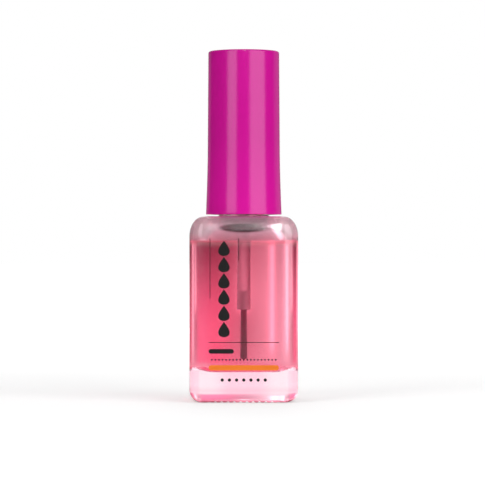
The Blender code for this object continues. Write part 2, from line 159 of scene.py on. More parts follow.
class GlassSettings(bpy.types.PropertyGroup):
    wall: length("Wall", "Thickness of the side walls", 2.5 * MM)
    edge_radius: length("Edge radius", "Radius of the four upright edges", 3.8 * MM)
    shoulder_inset: length("Shoulder inset", "How far the shoulder's curve comes in", 3.4 * MM)
    shoulder_drop: length("Shoulder drop", "Height of the shoulder's curve", 4.8 * MM)
    base_radius: length("Base radius", "Radius from the walls to the bearing ring", 2.9 * MM)
    bearing_width: length("Bearing width", "Width of the ring that the bottle stands on", 1.8 * MM)
    push_up: length("Push-up", "Depth of the hollow under the base", 0.6 * MM)
    cavity_edge: length("Cavity edge radius", "Radius of the cavity's upright edges", 4.3 * MM)
    cavity_inset: length("Cavity inset", "How far the cavity's shoulder comes in", 3.9 * MM)
    cavity_drop: length("Cavity drop", "Height of the cavity's shoulder", 4.5 * MM)
    floor_radius: length("Floor radius", "Radius round the cavity's floor", 2.0 * MM)
    neck_width: length("Neck width", "Outside of the neck under its thread", 11.5 * MM)
    neck_bore: length("Neck bore", "Mouth of the bottle", 6.6 * MM)
    thread_depth: length("Thread depth", "How far the neck's thread stands out", 0.78 * MM)
    notch_pitch: length("Notch pitch", "Spacing of the notches round the base", 1.5 * MM)
    notch_radius: length("Notch radius", "Radius of one notch", 0.34 * MM)
    tint: colour("Glass", "Tint of the glass", "#FCFEFD")
    # Painted reflection: pink that stands in for the oil reflected in the thick base and the shoulder
    painted_oil_reflection: colour("Rose", "Tint that the oil gives the thick base and shoulder", "#FFCDDE")
    # Deeper pink: painted reflection of the oil round the bearing ring; just above the level the same
    # pink is oil that clings to the glass
    blush: colour("Blush", "Deeper tint round the bearing ring and just above the oil", "#FFAEC2")
    # Painted shade: the dark oval in the middle of the shoulder
    shade: colour("Neck shade", "Tint where the neck's foot shows through the shoulder", "#70525A")


class OilSettings(bpy.types.PropertyGroup):
    meniscus: length("Meniscus", "How far the oil climbs the glass", 0.45 * MM)
    tint: colour("Oil", "Light that a metre of oil lets through, by its density", "#F83A92")
    density: bpy.props.FloatProperty(name="Density", default=78.0, min=0.0,
                                     description="Strength of the oil's colour per metre")


class CapSettings(bpy.types.PropertyGroup):
    waist_radius: length("Waist radius", "Radius of the overcap above its flare", 8.74 * MM)
    top_radius: length("Top radius", "Radius of the overcap at its top", 8.58 * MM)
    bore_radius: length("Bore radius", "Radius inside the overcap's lower end", 7.95 * MM)
    flare_height: length("Flare height", "Height over which the overcap widens", 15.2 * MM)
    top_fillet: length("Top fillet", "Radius round the overcap's top", 0.5 * MM)
    skirt_radius: length("Skirt radius", "Radius of the inner cap", 7.45 * MM)
    skirt_bore: length("Skirt bore", "Radius inside the inner cap", 6.7 * MM)
    magenta: colour("Magenta", "Colour of the overcap", "#D20996")
    white: colour("White", "Colour of the inner cap", "#E8E7E2")
    foam: colour("Foam", "Colour of the seal washer", "#EDEBE4")


class BrushSettings(bpy.types.PropertyGroup):
    strands: bpy.props.IntProperty(name="Strands", default=420, min=1,
                                   description="Bristles in the tuft")
    strand_radius: length("Strand radius", "Radius of one bristle at its root", 0.034 * MM)
    tip_radius: length("Tuft tip radius", "Radius of the tuft at its tip", 0.88 * MM)
    stem: colour("Stem", "Colour of the stem", "#D0C8CF")
    film: colour("Film", "Tint of the oil that wets the stem's lower part", "#EBDAE3")
    rim: colour("Stem edge", "Tint where light goes through the stem along its outline", "#DACED7")
    bristle: colour("Bristle", "Colour of the bristles", "#8C5070")


class PrintSettings(bpy.types.PropertyGroup):
    ink: length("Ink", "Thickness of the screen print", 0.02 * MM)
    drops: bpy.props.IntProperty(name="Drops", description="Drops in the upright row", default=6, min=1)
    dark: colour("Black ink", "Colour of the drops and the thin rules", "#0A0809")
    bright: colour("Orange ink", "Colour of the band above the base", "#FF8420")


class StageSettings(bpy.types.PropertyGroup):
    distance: length("Camera distance", "From the camera to the bottle's axis", 650 * MM)
    height: length("Camera height", "Height of the level camera above the base", 38.1 * MM)
    side: bpy.props.FloatProperty(name="Camera offset", description="Camera's place across the front",
                                  default=-0.3 * MM, subtype="DISTANCE", unit="LENGTH", precision=5)
    floor: colour("Floor", "Colour of the floor", "#F0F0F0")


def fill(tree, node, values):
    """Gives a node's shown inputs, by name or in order, a constant or a socket to link."""
    shown = [socket for socket in node.inputs if socket.enabled]
    pairs = values.items() if isinstance(values, dict) else enumerate(values)
    for key, value in pairs:
        socket = shown[key] if isinstance(key, int) else next(s for s in shown if s.name == key)
        if isinstance(value, bpy.types.NodeSocket):
            tree.links.new(value, socket)
        else:
            socket.default_value = value


def add(tree, kind, values=(), **settings):
    """Adds a node with its settings, constants and links, and returns its first shown output."""
    node = tree.nodes.new(kind)
    for name, setting in settings.items():
        setattr(node, name, setting)
    fill(tree, node, values)
    return next((socket for socket in node.outputs if socket.enabled), None)


# Kinds of step in a table that aren't an operation of the Math node, with their settings
STEP_KINDS = {
    "COMBINE": ("ShaderNodeCombineXYZ", {}),
    "MIX": ("ShaderNodeMix", {}),
    "BLEND": ("ShaderNodeMix", {"data_type": "RGBA"}),
    "RANGE": ("ShaderNodeMapRange", {}),
    "UNCLAMPED": ("ShaderNodeMapRange", {"clamp": False}),
    "SMOOTH": ("ShaderNodeMapRange", {"interpolation_type": "SMOOTHSTEP"}),
    **{f"VECTOR_{operation}": ("ShaderNodeVectorMath", {"operation": operation})
       for operation in ("ADD", "LENGTH", "MULTIPLY", "SCALE", "SUBTRACT")},
}


def chain(tree, values, steps):
    """Adds a node for each step to the named values; a step gives its name, its kind and its inputs."""
    for name, step, *inputs in steps:
        kind, settings = STEP_KINDS.get(step, ("ShaderNodeMath", {"operation": step}))
        values[name] = add(tree, kind, [values.get(key, key) for key in inputs], **settings)
    return values


def outputs(socket):
    """All outputs of the node that this one belongs to, by name."""
    return dict(socket.node.outputs.items())


def new_object(name, mesh):
    obj = bpy.data.objects.new(name, mesh)
    bpy.context.scene.collection.objects.link(obj)
    return obj


def object_from(bm, name):
    mesh = bpy.data.meshes.new(name)
    bm.to_mesh(mesh)
    bm.free()
    return new_object(name, mesh)


def settle(obj):
    """Turns a piece with modifiers into a plain closed mesh, smooth except at its sharp edges."""
    depsgraph = bpy.context.evaluated_depsgraph_get()
    mesh = bpy.data.meshes.new_from_object(obj.evaluated_get(depsgraph), depsgraph=depsgraph)
    obj.modifiers.clear()
    obj.data = mesh
    mesh.name = obj.name
    bm = bmesh.new()
    bm.from_mesh(mesh)
    bmesh.ops.remove_doubles(bm, verts=bm.verts, dist=MERGE_DISTANCE)
    bmesh.ops.dissolve_degenerate(bm, edges=bm.edges, dist=MERGE_DISTANCE)
    bmesh.ops.recalc_face_normals(bm, faces=bm.faces)
    bm.to_mesh(mesh)
    bm.free()
    mesh.shade_smooth()
    mesh.set_sharp_from_angle(angle=SHARP_ANGLE)
    return obj


def combine(obj, tools, operation):
    """Cuts or joins the tools, which are used up."""
    for tool in tools:
        modifier = obj.modifiers.new(tool.name, "BOOLEAN")
        modifier.operation = operation
        modifier.object = tool
        modifier.solver = "EXACT"
    settle(obj)
    for tool in tools:
        bpy.data.objects.remove(tool, do_unlink=True)


def paint(obj, material):
    obj.data.materials.clear()
    obj.data.materials.append(material)


def place(obj, body, node=None):
    """Seats a finished piece on its body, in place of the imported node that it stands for."""
    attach(obj, body)
    if node:
        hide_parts(node)


def new_tree(name, inputs):
    """An empty geometry tree with these inputs by socket type, and their values by name."""
    tree = bpy.data.node_groups.new(name, "GeometryNodeTree")
    for kind, sockets in {GEOMETRY: ["Geometry"], **inputs, "NodeSocketMaterial": ["Material"]}.items():
        for socket in sockets:
            tree.interface.new_socket(socket, in_out="INPUT", socket_type=kind)
    tree.interface.new_socket("Geometry", in_out="OUTPUT", socket_type=GEOMETRY)
    return tree, outputs(add(tree, "NodeGroupInput"))


def end_tree(tree, values, geometry):
    """Ends a geometry tree in Realize Instances and Set Material."""
    real = add(tree, "GeometryNodeRealizeInstances", (geometry,))
    painted = add(tree, "GeometryNodeSetMaterial", {"Geometry": real, "Material": values["Material"]})
    add(tree, "NodeGroupOutput", (painted,))
    return tree


def grow(obj, tree, material, values):
    """Runs a geometry tree on the object with these values for its named inputs."""
    modifier = obj.modifiers.new(tree.name, "NODES")
    modifier.node_group = tree
    identifiers = {item.name: item.identifier for item in tree.interface.items_tree
                   if item.in_out == "INPUT"}
    for name, value in {**values, "Material": material}.items():
        modifier[identifiers[name]] = value
    return settle(obj)


def grid_shares(tree, values, columns, rows):
    """A grid of points, with each point's row and its column's share from 0 to 1 among the values."""
    values["index"] = add(tree, "GeometryNodeInputIndex")
    chain(tree, values, (
        ("row", "MODULO", "index", rows),
        ("over", "DIVIDE", "index", rows),
        ("column", "FLOOR", "over"),
        ("last", "SUBTRACT", columns, 1.0),
        ("share", "DIVIDE", "column", "last")))
    return add(tree, "GeometryNodeMeshGrid", {"Vertices X": values[columns], "Vertices Y": values[rows]})


# The point at the values' angle, radius and height about the Z axis
ROUND_POSITION = (
    ("cosine", "COSINE", "angle"),
    ("sine", "SINE", "angle"),
    ("x", "MULTIPLY", "radius", "cosine"),
    ("y", "MULTIPLY", "radius", "sine"),
    ("position", "COMBINE", "x", "y", "height"),
)


def wrapped(tree, values, grid):
    """The grid, laid about the Z axis with its seams and poles merged."""
    chain(tree, values, ROUND_POSITION)
    moved = add(tree, "GeometryNodeSetPosition", {"Geometry": grid, "Position": values["position"]})
    return add(tree, "GeometryNodeMergeByDistance", {"Geometry": moved, "Distance": MERGE_DISTANCE})


def turning_tree():
    """Turns the profile that the object holds about the Z axis."""
    tree, values = new_tree("Turned profile", {INT: ["Steps"]})
    profile = values["Geometry"]
    values["rows"] = add(tree, "GeometryNodeAttributeDomainSize", (profile,))
    chain(tree, values, [("columns", "ADD", "Steps", 1.0)])
    grid = grid_shares(tree, values, "columns", "rows")
    chain(tree, values, [("angle", "MULTIPLY", "share", math.tau)])
    sample = add(tree, "GeometryNodeSampleIndex", {
        "Geometry": profile, "Value": add(tree, "GeometryNodeInputPosition"), "Index": values["row"]},
        data_type="FLOAT_VECTOR")
    point = outputs(add(tree, "ShaderNodeSeparateXYZ", (sample,)))
    values.update(radius=point["X"], height=point["Z"])
    return end_tree(tree, values, wrapped(tree, values, grid))


def thread_tree():
    """A screw thread: an oval ridge along a helix, which fades into the wall at both ends."""
    tree, values = new_tree("Screw thread", {
        FLOAT: ["Radius", "Depth", "Width", "Pitch", "Turns", "Run-out", "Start Height", "Start Angle"],
        INT: ["Steps", "Sides"]})
    chain(tree, values, [("rows", "ADD", "Sides", 1.0)])
    grid = grid_shares(tree, values, "Steps", "rows")
    chain(tree, values, (
        ("turned", "MULTIPLY", "share", "Turns"),
        ("left", "SUBTRACT", "Turns", "turned"),
        ("nearest", "MINIMUM", "turned", "left"),
        ("fade", "SMOOTH", "nearest", 0.0, "Run-out"),
        ("round share", "DIVIDE", "row", "Sides"),
        ("around", "MULTIPLY", "round share", math.tau),
        ("outwards", "COSINE", "around"),
        ("upwards", "SINE", "around"),
        ("depth", "MULTIPLY", "Depth", "fade"),
        ("radius", "MULTIPLY_ADD", "depth", "outwards", "Radius"),
        ("half width", "DIVIDE", "Width", 2.0),
        ("rise", "MULTIPLY", "half width", "fade"),
        ("climb", "MULTIPLY_ADD", "turned", "Pitch", "Start Height"),
        ("height", "MULTIPLY_ADD", "rise", "upwards", "climb"),
        ("angle", "MULTIPLY_ADD", "turned", math.tau, "Start Angle")))
    return end_tree(tree, values, wrapped(tree, values, grid))


def ring_tree():
    """Copies of the object's own shape, spaced evenly about the Z axis."""
    tree, values = new_tree("Copies round the axis", {INT: ["Count"]})
    values["index"] = add(tree, "GeometryNodeInputIndex")
    chain(tree, values, (
        ("step", "DIVIDE", math.tau, "Count"),
        ("angle", "MULTIPLY", "index", "step"),
        ("turn", "COMBINE", 0.0, 0.0, "angle")))
    return end_tree(tree, values, add(tree, "GeometryNodeInstanceOnPoints", {
        "Points": add(tree, "GeometryNodePoints", (values["Count"],)),
        "Instance": values["Geometry"], "Rotation": values["turn"]}))


def row_tree():
    """Copies of the object's own shape in a straight row."""
    tree, values = new_tree("Copies in a row", {INT: ["Count"], "NodeSocketVector": ["Step"]})
    line = add(tree, "GeometryNodeMeshLine", {"Count": values["Count"], "Offset": values["Step"]})
    return end_tree(tree, values, add(tree, "GeometryNodeInstanceOnPoints", {
        "Points": line, "Instance": values["Geometry"]}))


def bristle_tree():
    """Fine strands that fan out from a packed bundle, each with its own bend and length."""
    tree, values = new_tree("Bristle tuft", {
        FLOAT: ["Strand Radius", "Root Radius", "Tip Radius", "Root Height", "Length", "Ragged", "Bend"],
        INT: ["Strands", "Seed"]})
    points = add(tree, "GeometryNodePoints", (values["Strands"],))
    marked = add(tree, "GeometryNodeStoreNamedAttribute", {
        "Geometry": points, "Name": "strand", "Value": add(tree, "GeometryNodeInputIndex")})
    strand = add(tree, "GeometryNodeMeshCylinder", {
        "Vertices": STRAND_SIDES, "Side Segments": STRAND_SEGMENTS, "Radius": 1.0, "Depth": 1.0})
    copies = add(tree, "GeometryNodeInstanceOnPoints", {"Points": marked, "Instance": strand})
    real = add(tree, "GeometryNodeRealizeInstances", (copies,))
    number = add(tree, "GeometryNodeInputNamedAttribute", {"Name": "strand"})
    drawn = {"ID": number, "Seed": values["Seed"]}
    values.update(
        outputs(add(tree, "ShaderNodeSeparateXYZ", (add(tree, "GeometryNodeInputPosition"),))),
        number=number,
        uneven=add(tree, "FunctionNodeRandomValue", {"Min": 0.0, "Max": values["Ragged"], **drawn}),
        lean=add(tree, "FunctionNodeRandomValue", {
            "Min": (-1.0, -1.0, 0.0), "Max": (1.0, 1.0, 0.0), **drawn}, data_type="FLOAT_VECTOR"))
    chain(tree, values, (
        ("down", "SUBTRACT", 0.5, "Z"),
        ("shifted", "ADD", "number", 0.5),
        ("part", "DIVIDE", "shifted", "Strands"),
        ("spread", "SQRT", "part"),
        ("angle", "MULTIPLY", "number", GOLDEN_ANGLE),
        ("reach", "RANGE", "down", 0.0, 1.0, "Root Radius", "Tip Radius"),
        ("radius", "MULTIPLY", "spread", "reach"),
        ("dome", "MULTIPLY_ADD", "part", "Ragged", "uneven"),
        ("run", "SUBTRACT", "Length", "dome"),
        ("drop", "MULTIPLY", "down", "run"),
        ("height", "SUBTRACT", "Root Height", "drop"),
        *ROUND_POSITION,
        ("curve", "POWER", "down", STRAND_CURVE),
        ("sway", "MULTIPLY", "curve", "Bend"),
        ("bend", "VECTOR_SCALE", "lean", "sway"),
        ("bent", "VECTOR_ADD", "position", "bend"),
        ("tip", "MULTIPLY", "Strand Radius", STRAND_TAPER),
        ("thin", "RANGE", "down", 0.0, 1.0, "Strand Radius", "tip"),
        ("flat", "COMBINE", "X", "Y"),
        ("section", "VECTOR_SCALE", "flat", "thin"),
        ("skin", "VECTOR_ADD", "bent", "section")))
    return end_tree(tree, values, add(tree, "GeometryNodeSetPosition", {
        "Geometry": real, "Position": values["skin"]}))


def turned(name, profile, material, steps=TURN_STEPS):
    """A closed piece turned from (radius, height) points that run once round its section."""
    bm = bmesh.new()
    closed = list(profile) if profile[0][0] == 0.0 else [*profile, profile[0]]
    for radius, height in closed:
        bm.verts.new((radius, 0.0, height))
    return grow(object_from(bm, name), turning_tree(), material, {"Steps": steps})


def arc(centre, radius, start, end, steps=FILLET_STEPS):
    """(radius, height) points on an arc about a centre, from one angle to the other in degrees."""
    angles = [math.radians(start + (end - start) * step / steps) for step in range(steps + 1)]
    return [(centre[0] + radius * math.cos(a), centre[1] + radius * math.sin(a)) for a in angles]


def quarter_turn(steps):
    """(sine, cosine) from 0 to 90 degrees."""
    angles = [QUARTER * step / steps for step in range(steps + 1)]
    return [(math.sin(angle), math.cos(angle)) for angle in angles]


def square_ring(half_width, corner_radius, height):
    """A level rounded square, counter-clockwise, with steps round its corners and along its sides."""
    reach = half_width - corner_radius
    ring = []
    for corner in range(4):
        turn = Matrix.Rotation(QUARTER * corner, 3, "Z")
        for step in range(CORNER_STEPS + 1):
            angle = QUARTER * step / CORNER_STEPS
            point = Vector((reach + corner_radius * math.cos(angle),
                            reach + corner_radius * math.sin(angle), height))
            ring.append(turn @ point)
        for step in range(1, SIDE_STEPS):
            across = reach - 2 * reach * step / SIDE_STEPS
            ring.append(turn @ Vector((across, half_width, height)))
    return ring


def round_ring(radius, height):
    """A level circle with as many points as a square_ring, its corners' middles at 45 degrees."""
    steps = CORNER_STEPS + SIDE_STEPS
    angles = [math.pi / 4 + QUARTER * (i - CORNER_STEPS / 2) / steps for i in range(4 * steps)]
    return [Vector((radius * math.cos(a), radius * math.sin(a), height)) for a in angles]


def loft(rings):
    """A closed skin through the rings, with a flat face across the first and the last."""
    bm = bmesh.new()
    rows = [[bm.verts.new(point) for point in ring] for ring in rings]
    for lower, upper in zip(rows, rows[1:]):
        for i in range(len(lower)):
            j = (i + 1) % len(lower)
            bm.faces.new((lower[i], lower[j], upper[j], upper[i]))
    bm.faces.new(rows[0][::-1])
    bm.faces.new(rows[-1])
    return bm


def cavity_section(size, half, height, gap=0.0):
    """Half width and corner radius of the cavity at this height, for a skin kept gap inside it."""
    inset = gap
    floor = FLOOR_HEIGHT + gap
    radius = size.floor_radius - gap
    if height < floor + radius:
        below = min(floor + radius - height, radius)
        inset += radius - math.sqrt(radius**2 - below**2)
    above = height + gap - (CEILING_HEIGHT - size.cavity_drop)
    if above > 0.0:
        share = min(above / size.cavity_drop, 1.0)
        inset += size.cavity_inset * (1 - math.sqrt(1 - share**2))
    return half - size.wall - inset, size.cavity_edge - inset


def cavity_heights(size, gap=0.0):
    """Heights of the cavity's rings: round its floor, up its walls and round its shoulder."""
    floor = FLOOR_HEIGHT + gap
    radius = size.floor_radius - gap
    low = [floor + radius * (1 - cosine) for _, cosine in quarter_turn(FILLET_STEPS)]
    start = CEILING_HEIGHT - size.cavity_drop
    high = [start + size.cavity_drop * sine for sine, _ in quarter_turn(ARC_STEPS)]
    return low + [low[-1] + EDGE_LOOP_OFFSET, start - EDGE_LOOP_OFFSET] + high


def outer_rings(size, half):
    """The glass from the push-up under the base, round the bearing ring, up to the neck."""
    bearing = half - size.base_radius - size.bearing_width
    rings = [square_ring(bearing - size.push_up * cosine, size.edge_radius - size.base_radius,
                         size.push_up * (1 - sine)) for sine, cosine in quarter_turn(FILLET_STEPS)]
    start = BODY_HEIGHT - DECK_FALL - size.shoulder_drop
    insets = [(size.base_radius * (1 - sine), size.base_radius * (1 - cosine))
              for sine, cosine in quarter_turn(ARC_STEPS)]
    insets += [(0.0, size.base_radius + EDGE_LOOP_OFFSET), (0.0, start - EDGE_LOOP_OFFSET)]
    insets += [(size.shoulder_inset * (1 - cosine), start + size.shoulder_drop * sine)
               for sine, cosine in quarter_turn(ARC_STEPS)]
    return rings + [square_ring(half - inset, size.edge_radius - inset, height)
                    for inset, height in insets]


def neck_rings(size):
    """The neck from its root up to the rim and down its bore to the cavity's ceiling."""
    outer = size.neck_width / 2
    bore = size.neck_bore / 2
    fillet = NECK_FILLET
    rim = RIM_RADIUS
    top = GLASS_HIGH.z
    turn = quarter_turn(FILLET_STEPS)
    root = [(outer + fillet * (1 - s), BODY_HEIGHT + fillet * (1 - c)) for s, c in turn]
    rim_outer = [(outer - rim * (1 - c), top - rim * (1 - s)) for s, c in turn]
    rim_inner = [(bore + rim * (1 - s), top - rim * (1 - c)) for s, c in turn]
    throat = [(bore + THROAT_RADIUS * (1 - c), CEILING_HEIGHT + THROAT_RADIUS * (1 - s))
              for s, c in turn]
    return [round_ring(radius, height) for radius, height in root + rim_outer + rim_inner + throat]


def make_thread(name, radius, depth, width, turns, start, angle, material):
    """A ridge outwards from this radius, or inwards where its depth is negative."""
    root = math.copysign(THREAD_ROOT_DEPTH, depth)
    values = {"Radius": radius - root, "Depth": depth + root, "Width": width, "Pitch": THREAD_PITCH,
              "Turns": turns, "Run-out": THREAD_RUN_OUT, "Start Height": start,
              "Start Angle": angle, "Steps": THREAD_STEPS, "Sides": THREAD_SIDES}
    return grow(new_object(name, bpy.data.meshes.new(name)), thread_tree(), material, values)


# Glass and oil have nearly the same index, so where they meet they barely bend light. Each surface
# has its own index here, and the wetted glass and the oil's skin together bend it as the two do.
GLASS_IOR = 1.52
OIL_IOR = 1.47
OIL_SURFACE_IOR = 1.01
WETTED_IOR = GLASS_IOR / OIL_IOR * OIL_SURFACE_IOR
GLASS_HAZE = 0.28
GLASS_ROUGHNESS = 0.15
WALL_POLISH = 0.3
HAZE_PER_ROUGHNESS = 3

# The oval in the middle of the shoulder, kept clear of haze, with a painted shade where the neck's foot
# sits behind it
OVAL_REACH = 5.8 * MM
OVAL_HEIGHT = 41.5 * MM
OVAL_RISE = 1 * MM

# Where the glass gets a painted reflection of the oil, the tint of clinging oil and the oval's painted
# shade, by height, by place across and by distance from the oval.
# A smooth step has its measure, its start and end, and its level at each.
GLASS_LOOK = (
    ("lateral", "MINIMUM", "X", "Y"),
    ("across", "DIVIDE", "lateral", OVAL_REACH),
    ("above", "UNCLAMPED", "Z", OVAL_HEIGHT, OVAL_HEIGHT + OVAL_RISE),
    ("oval", "COMBINE", "across", "above"),
    ("away", "VECTOR_LENGTH", "oval"),
    # Painted reflection of the oil: pink in the thick base, most in its middle and at its edges, and in
    # the shoulder, less towards its sides
    ("thick base", "SMOOTH", "Z", FLOOR_HEIGHT, FLOOR_HEIGHT + 2 * MM, 1.0, 0.0),
    ("base middle", "SMOOTH", "lateral", 3 * MM, 8 * MM, 1.0, 0.6),
    ("base edge", "SMOOTH", "lateral", 9.5 * MM, 11 * MM, 0.0, 1.0),
    ("base spread", "MAXIMUM", "base middle", "base edge"),
    ("base", "MULTIPLY", "thick base", "base spread"),
    # Painted reflection of the oil round the bearing ring, and the tint of oil that clings just above
    # the level
    ("foot", "SMOOTH", "Z", 0.8 * MM, 3 * MM, 1.0, 0.0),
    ("from level", "SMOOTH", "Z", OIL_HIGH.z - 1 * MM, OIL_HIGH.z, 0.0, 1.0),
    ("cling top", "SMOOTH", "Z", OIL_HIGH.z, OIL_HIGH.z + 2.2 * MM, 1.0, 0.0),
    ("cling", "MULTIPLY", "from level", "cling top"),
    ("clinging oil and painted foot reflection", "MAXIMUM", "foot", "cling"),
    ("shoulder foot", "SMOOTH", "Z", OIL_HIGH.z - 2 * MM, OIL_HIGH.z + 1 * MM, 0.0, 1.0),
    ("neck", "SMOOTH", "Z", BODY_HEIGHT, BODY_HEIGHT + 1 * MM, 1.0, 0.0),
    ("shoulder", "MULTIPLY", "shoulder foot", "neck"),
    # Haze outside the oval; painted shade inside it
    ("past oval", "SMOOTH", "away", 0.8, 1.2, 0.0, 1.0),
    ("cloud", "MULTIPLY", "shoulder", "past oval"),
    ("in oval", "SMOOTH", "away", 0.8, 1.2, 1.0, 0.0),
    ("dark", "MULTIPLY", "shoulder", "in oval"),
    ("shoulder middle", "SMOOTH", "lateral", 6 * MM, 10 * MM, 1.0, 0.55),
    ("rosy shoulder", "MULTIPLY", "shoulder", "shoulder middle"),
    ("rosy", "MAXIMUM", "base", "rosy shoulder"),
    ("rosy glass", "BLEND", "rosy", "tint", "painted_oil_reflection"),
    ("glass with clinging oil and painted reflection", "BLEND", "clinging oil and painted foot reflection", "rosy glass", "blush"),
    ("Base Color", "BLEND", "dark", "glass with clinging oil and painted reflection", "shade"),
    ("Transmission Weight", "RANGE", "cloud", 0.0, 1.0, 1.0, "clouded"),
    ("Roughness", "RANGE", "cloud", 0.0, 1.0, GLASS_ROUGHNESS, "rough"),
    ("Coat Weight", "RANGE", "shoulder foot", 0.0, 1.0, "wall polish", "polish"),
)

# How clear the stem is in the oil and above it, and its tint where light grazes its outline
DRY_CLEARNESS = 0.5
STEM_LOOK = (
    ("clear", "SMOOTH", "Z", TUFT_HIGH.z - 1 * MM, TUFT_HIGH.z + 2 * MM, 0.5, 0.66),
    ("dry", "SMOOTH", "Z", OIL_HIGH.z - 1 * MM, OIL_HIGH.z + 3 * MM, 0.0, 1.0),
    ("outline", "SMOOTH", "facing", 0.1, 0.8, 0.0, 1.0),
    ("Transmission Weight", "MIX", "dry", "clear", DRY_CLEARNESS),
    ("plain", "BLEND", "dry", "film", "base"),
    ("Base Color", "BLEND", "outline", "plain", "rim"),
)

# How much darker or paler the second tone of a material is
MAGENTA_DEEP = 0.95
# Paler colour of the painted light at the overcap's lower edge
MAGENTA_PAINTED_LIGHT = 1.16
NYLON_PALE = 1.7
INK_THIN = 0.9
INK_GREYNESS = 0.004


def textured(name, values):
    """A material with these constants on its Principled shader, its tree, shader and coordinates."""
    material = bpy.data.materials.new(name)
    material.use_nodes = True
    tree = material.node_tree
    shader = tree.nodes["Principled BSDF"]
    fill(tree, shader, values)
    return material, tree, shader, add(tree, "ShaderNodeTexCoord").node.outputs["Object"]


def patterned(tree, place_on, size, detail=2.0, stretch=None, kind="ShaderNodeTexNoise", rough=None,
              relief=None, tones=None):
    """Shader inputs that vary with a fine pattern: roughness, relief and colour where they are given."""
    if stretch:
        place_on = add(tree, "ShaderNodeMapping", {"Vector": place_on, "Scale": stretch})
    pattern = add(tree, kind, {"Vector": place_on, "Scale": 1 / size, "Detail": detail})
    inputs = {}
    if tones:
        first, last = ((*tone, 1.0) for tone in tones)
        inputs["Base Color"] = add(tree, "ShaderNodeMix", (pattern, first, last), data_type="RGBA")
    if rough:
        inputs["Roughness"] = add(tree, "ShaderNodeMapRange", (pattern, 0.0, 1.0, *rough))
    if relief:
        strength, depth = relief
        inputs["Normal"] = add(tree, "ShaderNodeBump", {
            "Strength": strength, "Distance": depth, "Height": pattern})
    return inputs


def finish(name, constants, **pattern):
    """A material with these constants and one fine pattern."""
    material, tree, shader, place_on = textured(name, constants)
    fill(tree, shader, patterned(tree, place_on, **pattern))
    return material


def toned(base, share, lift=0.0):
    """The colour made darker or paler by this share."""
    return tuple(min(1.0, channel * share + lift) for channel in base)


def linked(tree, shader, values, names):
    """Gives these of the named values to the shader."""
    fill(tree, shader, {name: values[name] for name in names})


def flint_glass(name, size, ior, polish, haze):
    # Pressed soda-lime glass: fire-polished and slightly wavy. Its thick base and shoulder get a painted
    # pink reflection of the oil, deepest round the bearing ring, the shoulder has a painted shade in its
    # middle oval, and oil that clings above the level tints and clouds the shoulder
    material, tree, shader, place_on = textured(name, {
        "IOR": ior, "Transmission Weight": 1.0, "Coat Weight": polish, "Coat Roughness": 0.03,
        "Coat IOR": 1.5})
    sides = add(tree, "ShaderNodeVectorMath", (place_on,), operation="ABSOLUTE")
    values = outputs(add(tree, "ShaderNodeSeparateXYZ", (sides,)))
    values.update({tint: (*getattr(size, tint), 1.0) for tint in ("tint", "painted_oil_reflection", "blush", "shade")})
    values.update({"clouded": 1.0 - haze, "rough": GLASS_ROUGHNESS + haze / HAZE_PER_ROUGHNESS,
                   "wall polish": polish * WALL_POLISH, "polish": polish})
    chain(tree, values, GLASS_LOOK)
    linked(tree, shader, values, ("Base Color", "Transmission Weight", "Roughness", "Coat Weight"))
    fill(tree, shader, patterned(tree, place_on, size=9 * MM, detail=1.0, relief=(0.5, 12 * UM)))
    return material


def tinted_oil(tint, density):
    # Clear dyed cosmetic oil: the colour comes only from the depth that the light goes through
    material, tree, _, _ = textured("Dyed cosmetic oil", {
        "Base Color": WHITE, "Roughness": 0.0, "IOR": OIL_SURFACE_IOR, "Transmission Weight": 1.0})
    volume = add(tree, "ShaderNodeVolumeAbsorption", {"Color": (*tint, 1.0), "Density": density})
    fill(tree, tree.nodes["Material Output"], {"Volume": volume})
    return material


def magenta_polypropylene(base):
    # Injection-moulded polypropylene from a satin tool: soft-edged highlights over an even colour,
    # with painted light that makes it paler towards the lower edge, fading out at the inner cap's top
    material, tree, shader, place_on = textured("Moulded magenta polypropylene", {
        "IOR": 1.49, "Specular IOR Level": 0.5})
    values = patterned(tree, place_on, size=6 * MM, detail=3.0, tones=(toned(base, MAGENTA_DEEP), base))
    values.update(outputs(add(tree, "ShaderNodeSeparateXYZ", (place_on,))),
                  pale=(*toned(base, MAGENTA_PAINTED_LIGHT), 1.0))
    chain(tree, values, (
        # Painted light: paler towards the lower edge, fading out at the inner cap's top
        ("painted light lift", "RANGE", "Z", OVERCAP_LOW.z, INNER_HIGH.z, 1.0, 0.0),
        ("Base Color", "BLEND", "painted light lift", "Base Color", "pale")))
    linked(tree, shader, values, ("Base Color",))
    fill(tree, shader, patterned(
        tree, place_on, size=0.35 * MM, rough=(0.17, 0.23), relief=(0.4, 1 * UM)))
    return material


def white_polypropylene(base):
    # Plain moulded polypropylene: satin white with a faint grain
    return finish("Moulded white polypropylene", {"Base Color": (*base, 1.0), "IOR": 1.49},
                  size=0.5 * MM, rough=(0.38, 0.5), relief=(0.4, 4 * UM))


def polyethylene_foam(base):
    # Expanded polyethylene sheet, die cut: matte, with closed cells a fifth of a millimetre across
    return finish("Die-cut polyethylene foam", {
        "Base Color": (*base, 1.0), "Roughness": 0.8, "IOR": 1.4},
        size=0.2 * MM, detail=0.0, kind="ShaderNodeTexVoronoi", relief=(0.7, 20 * UM))


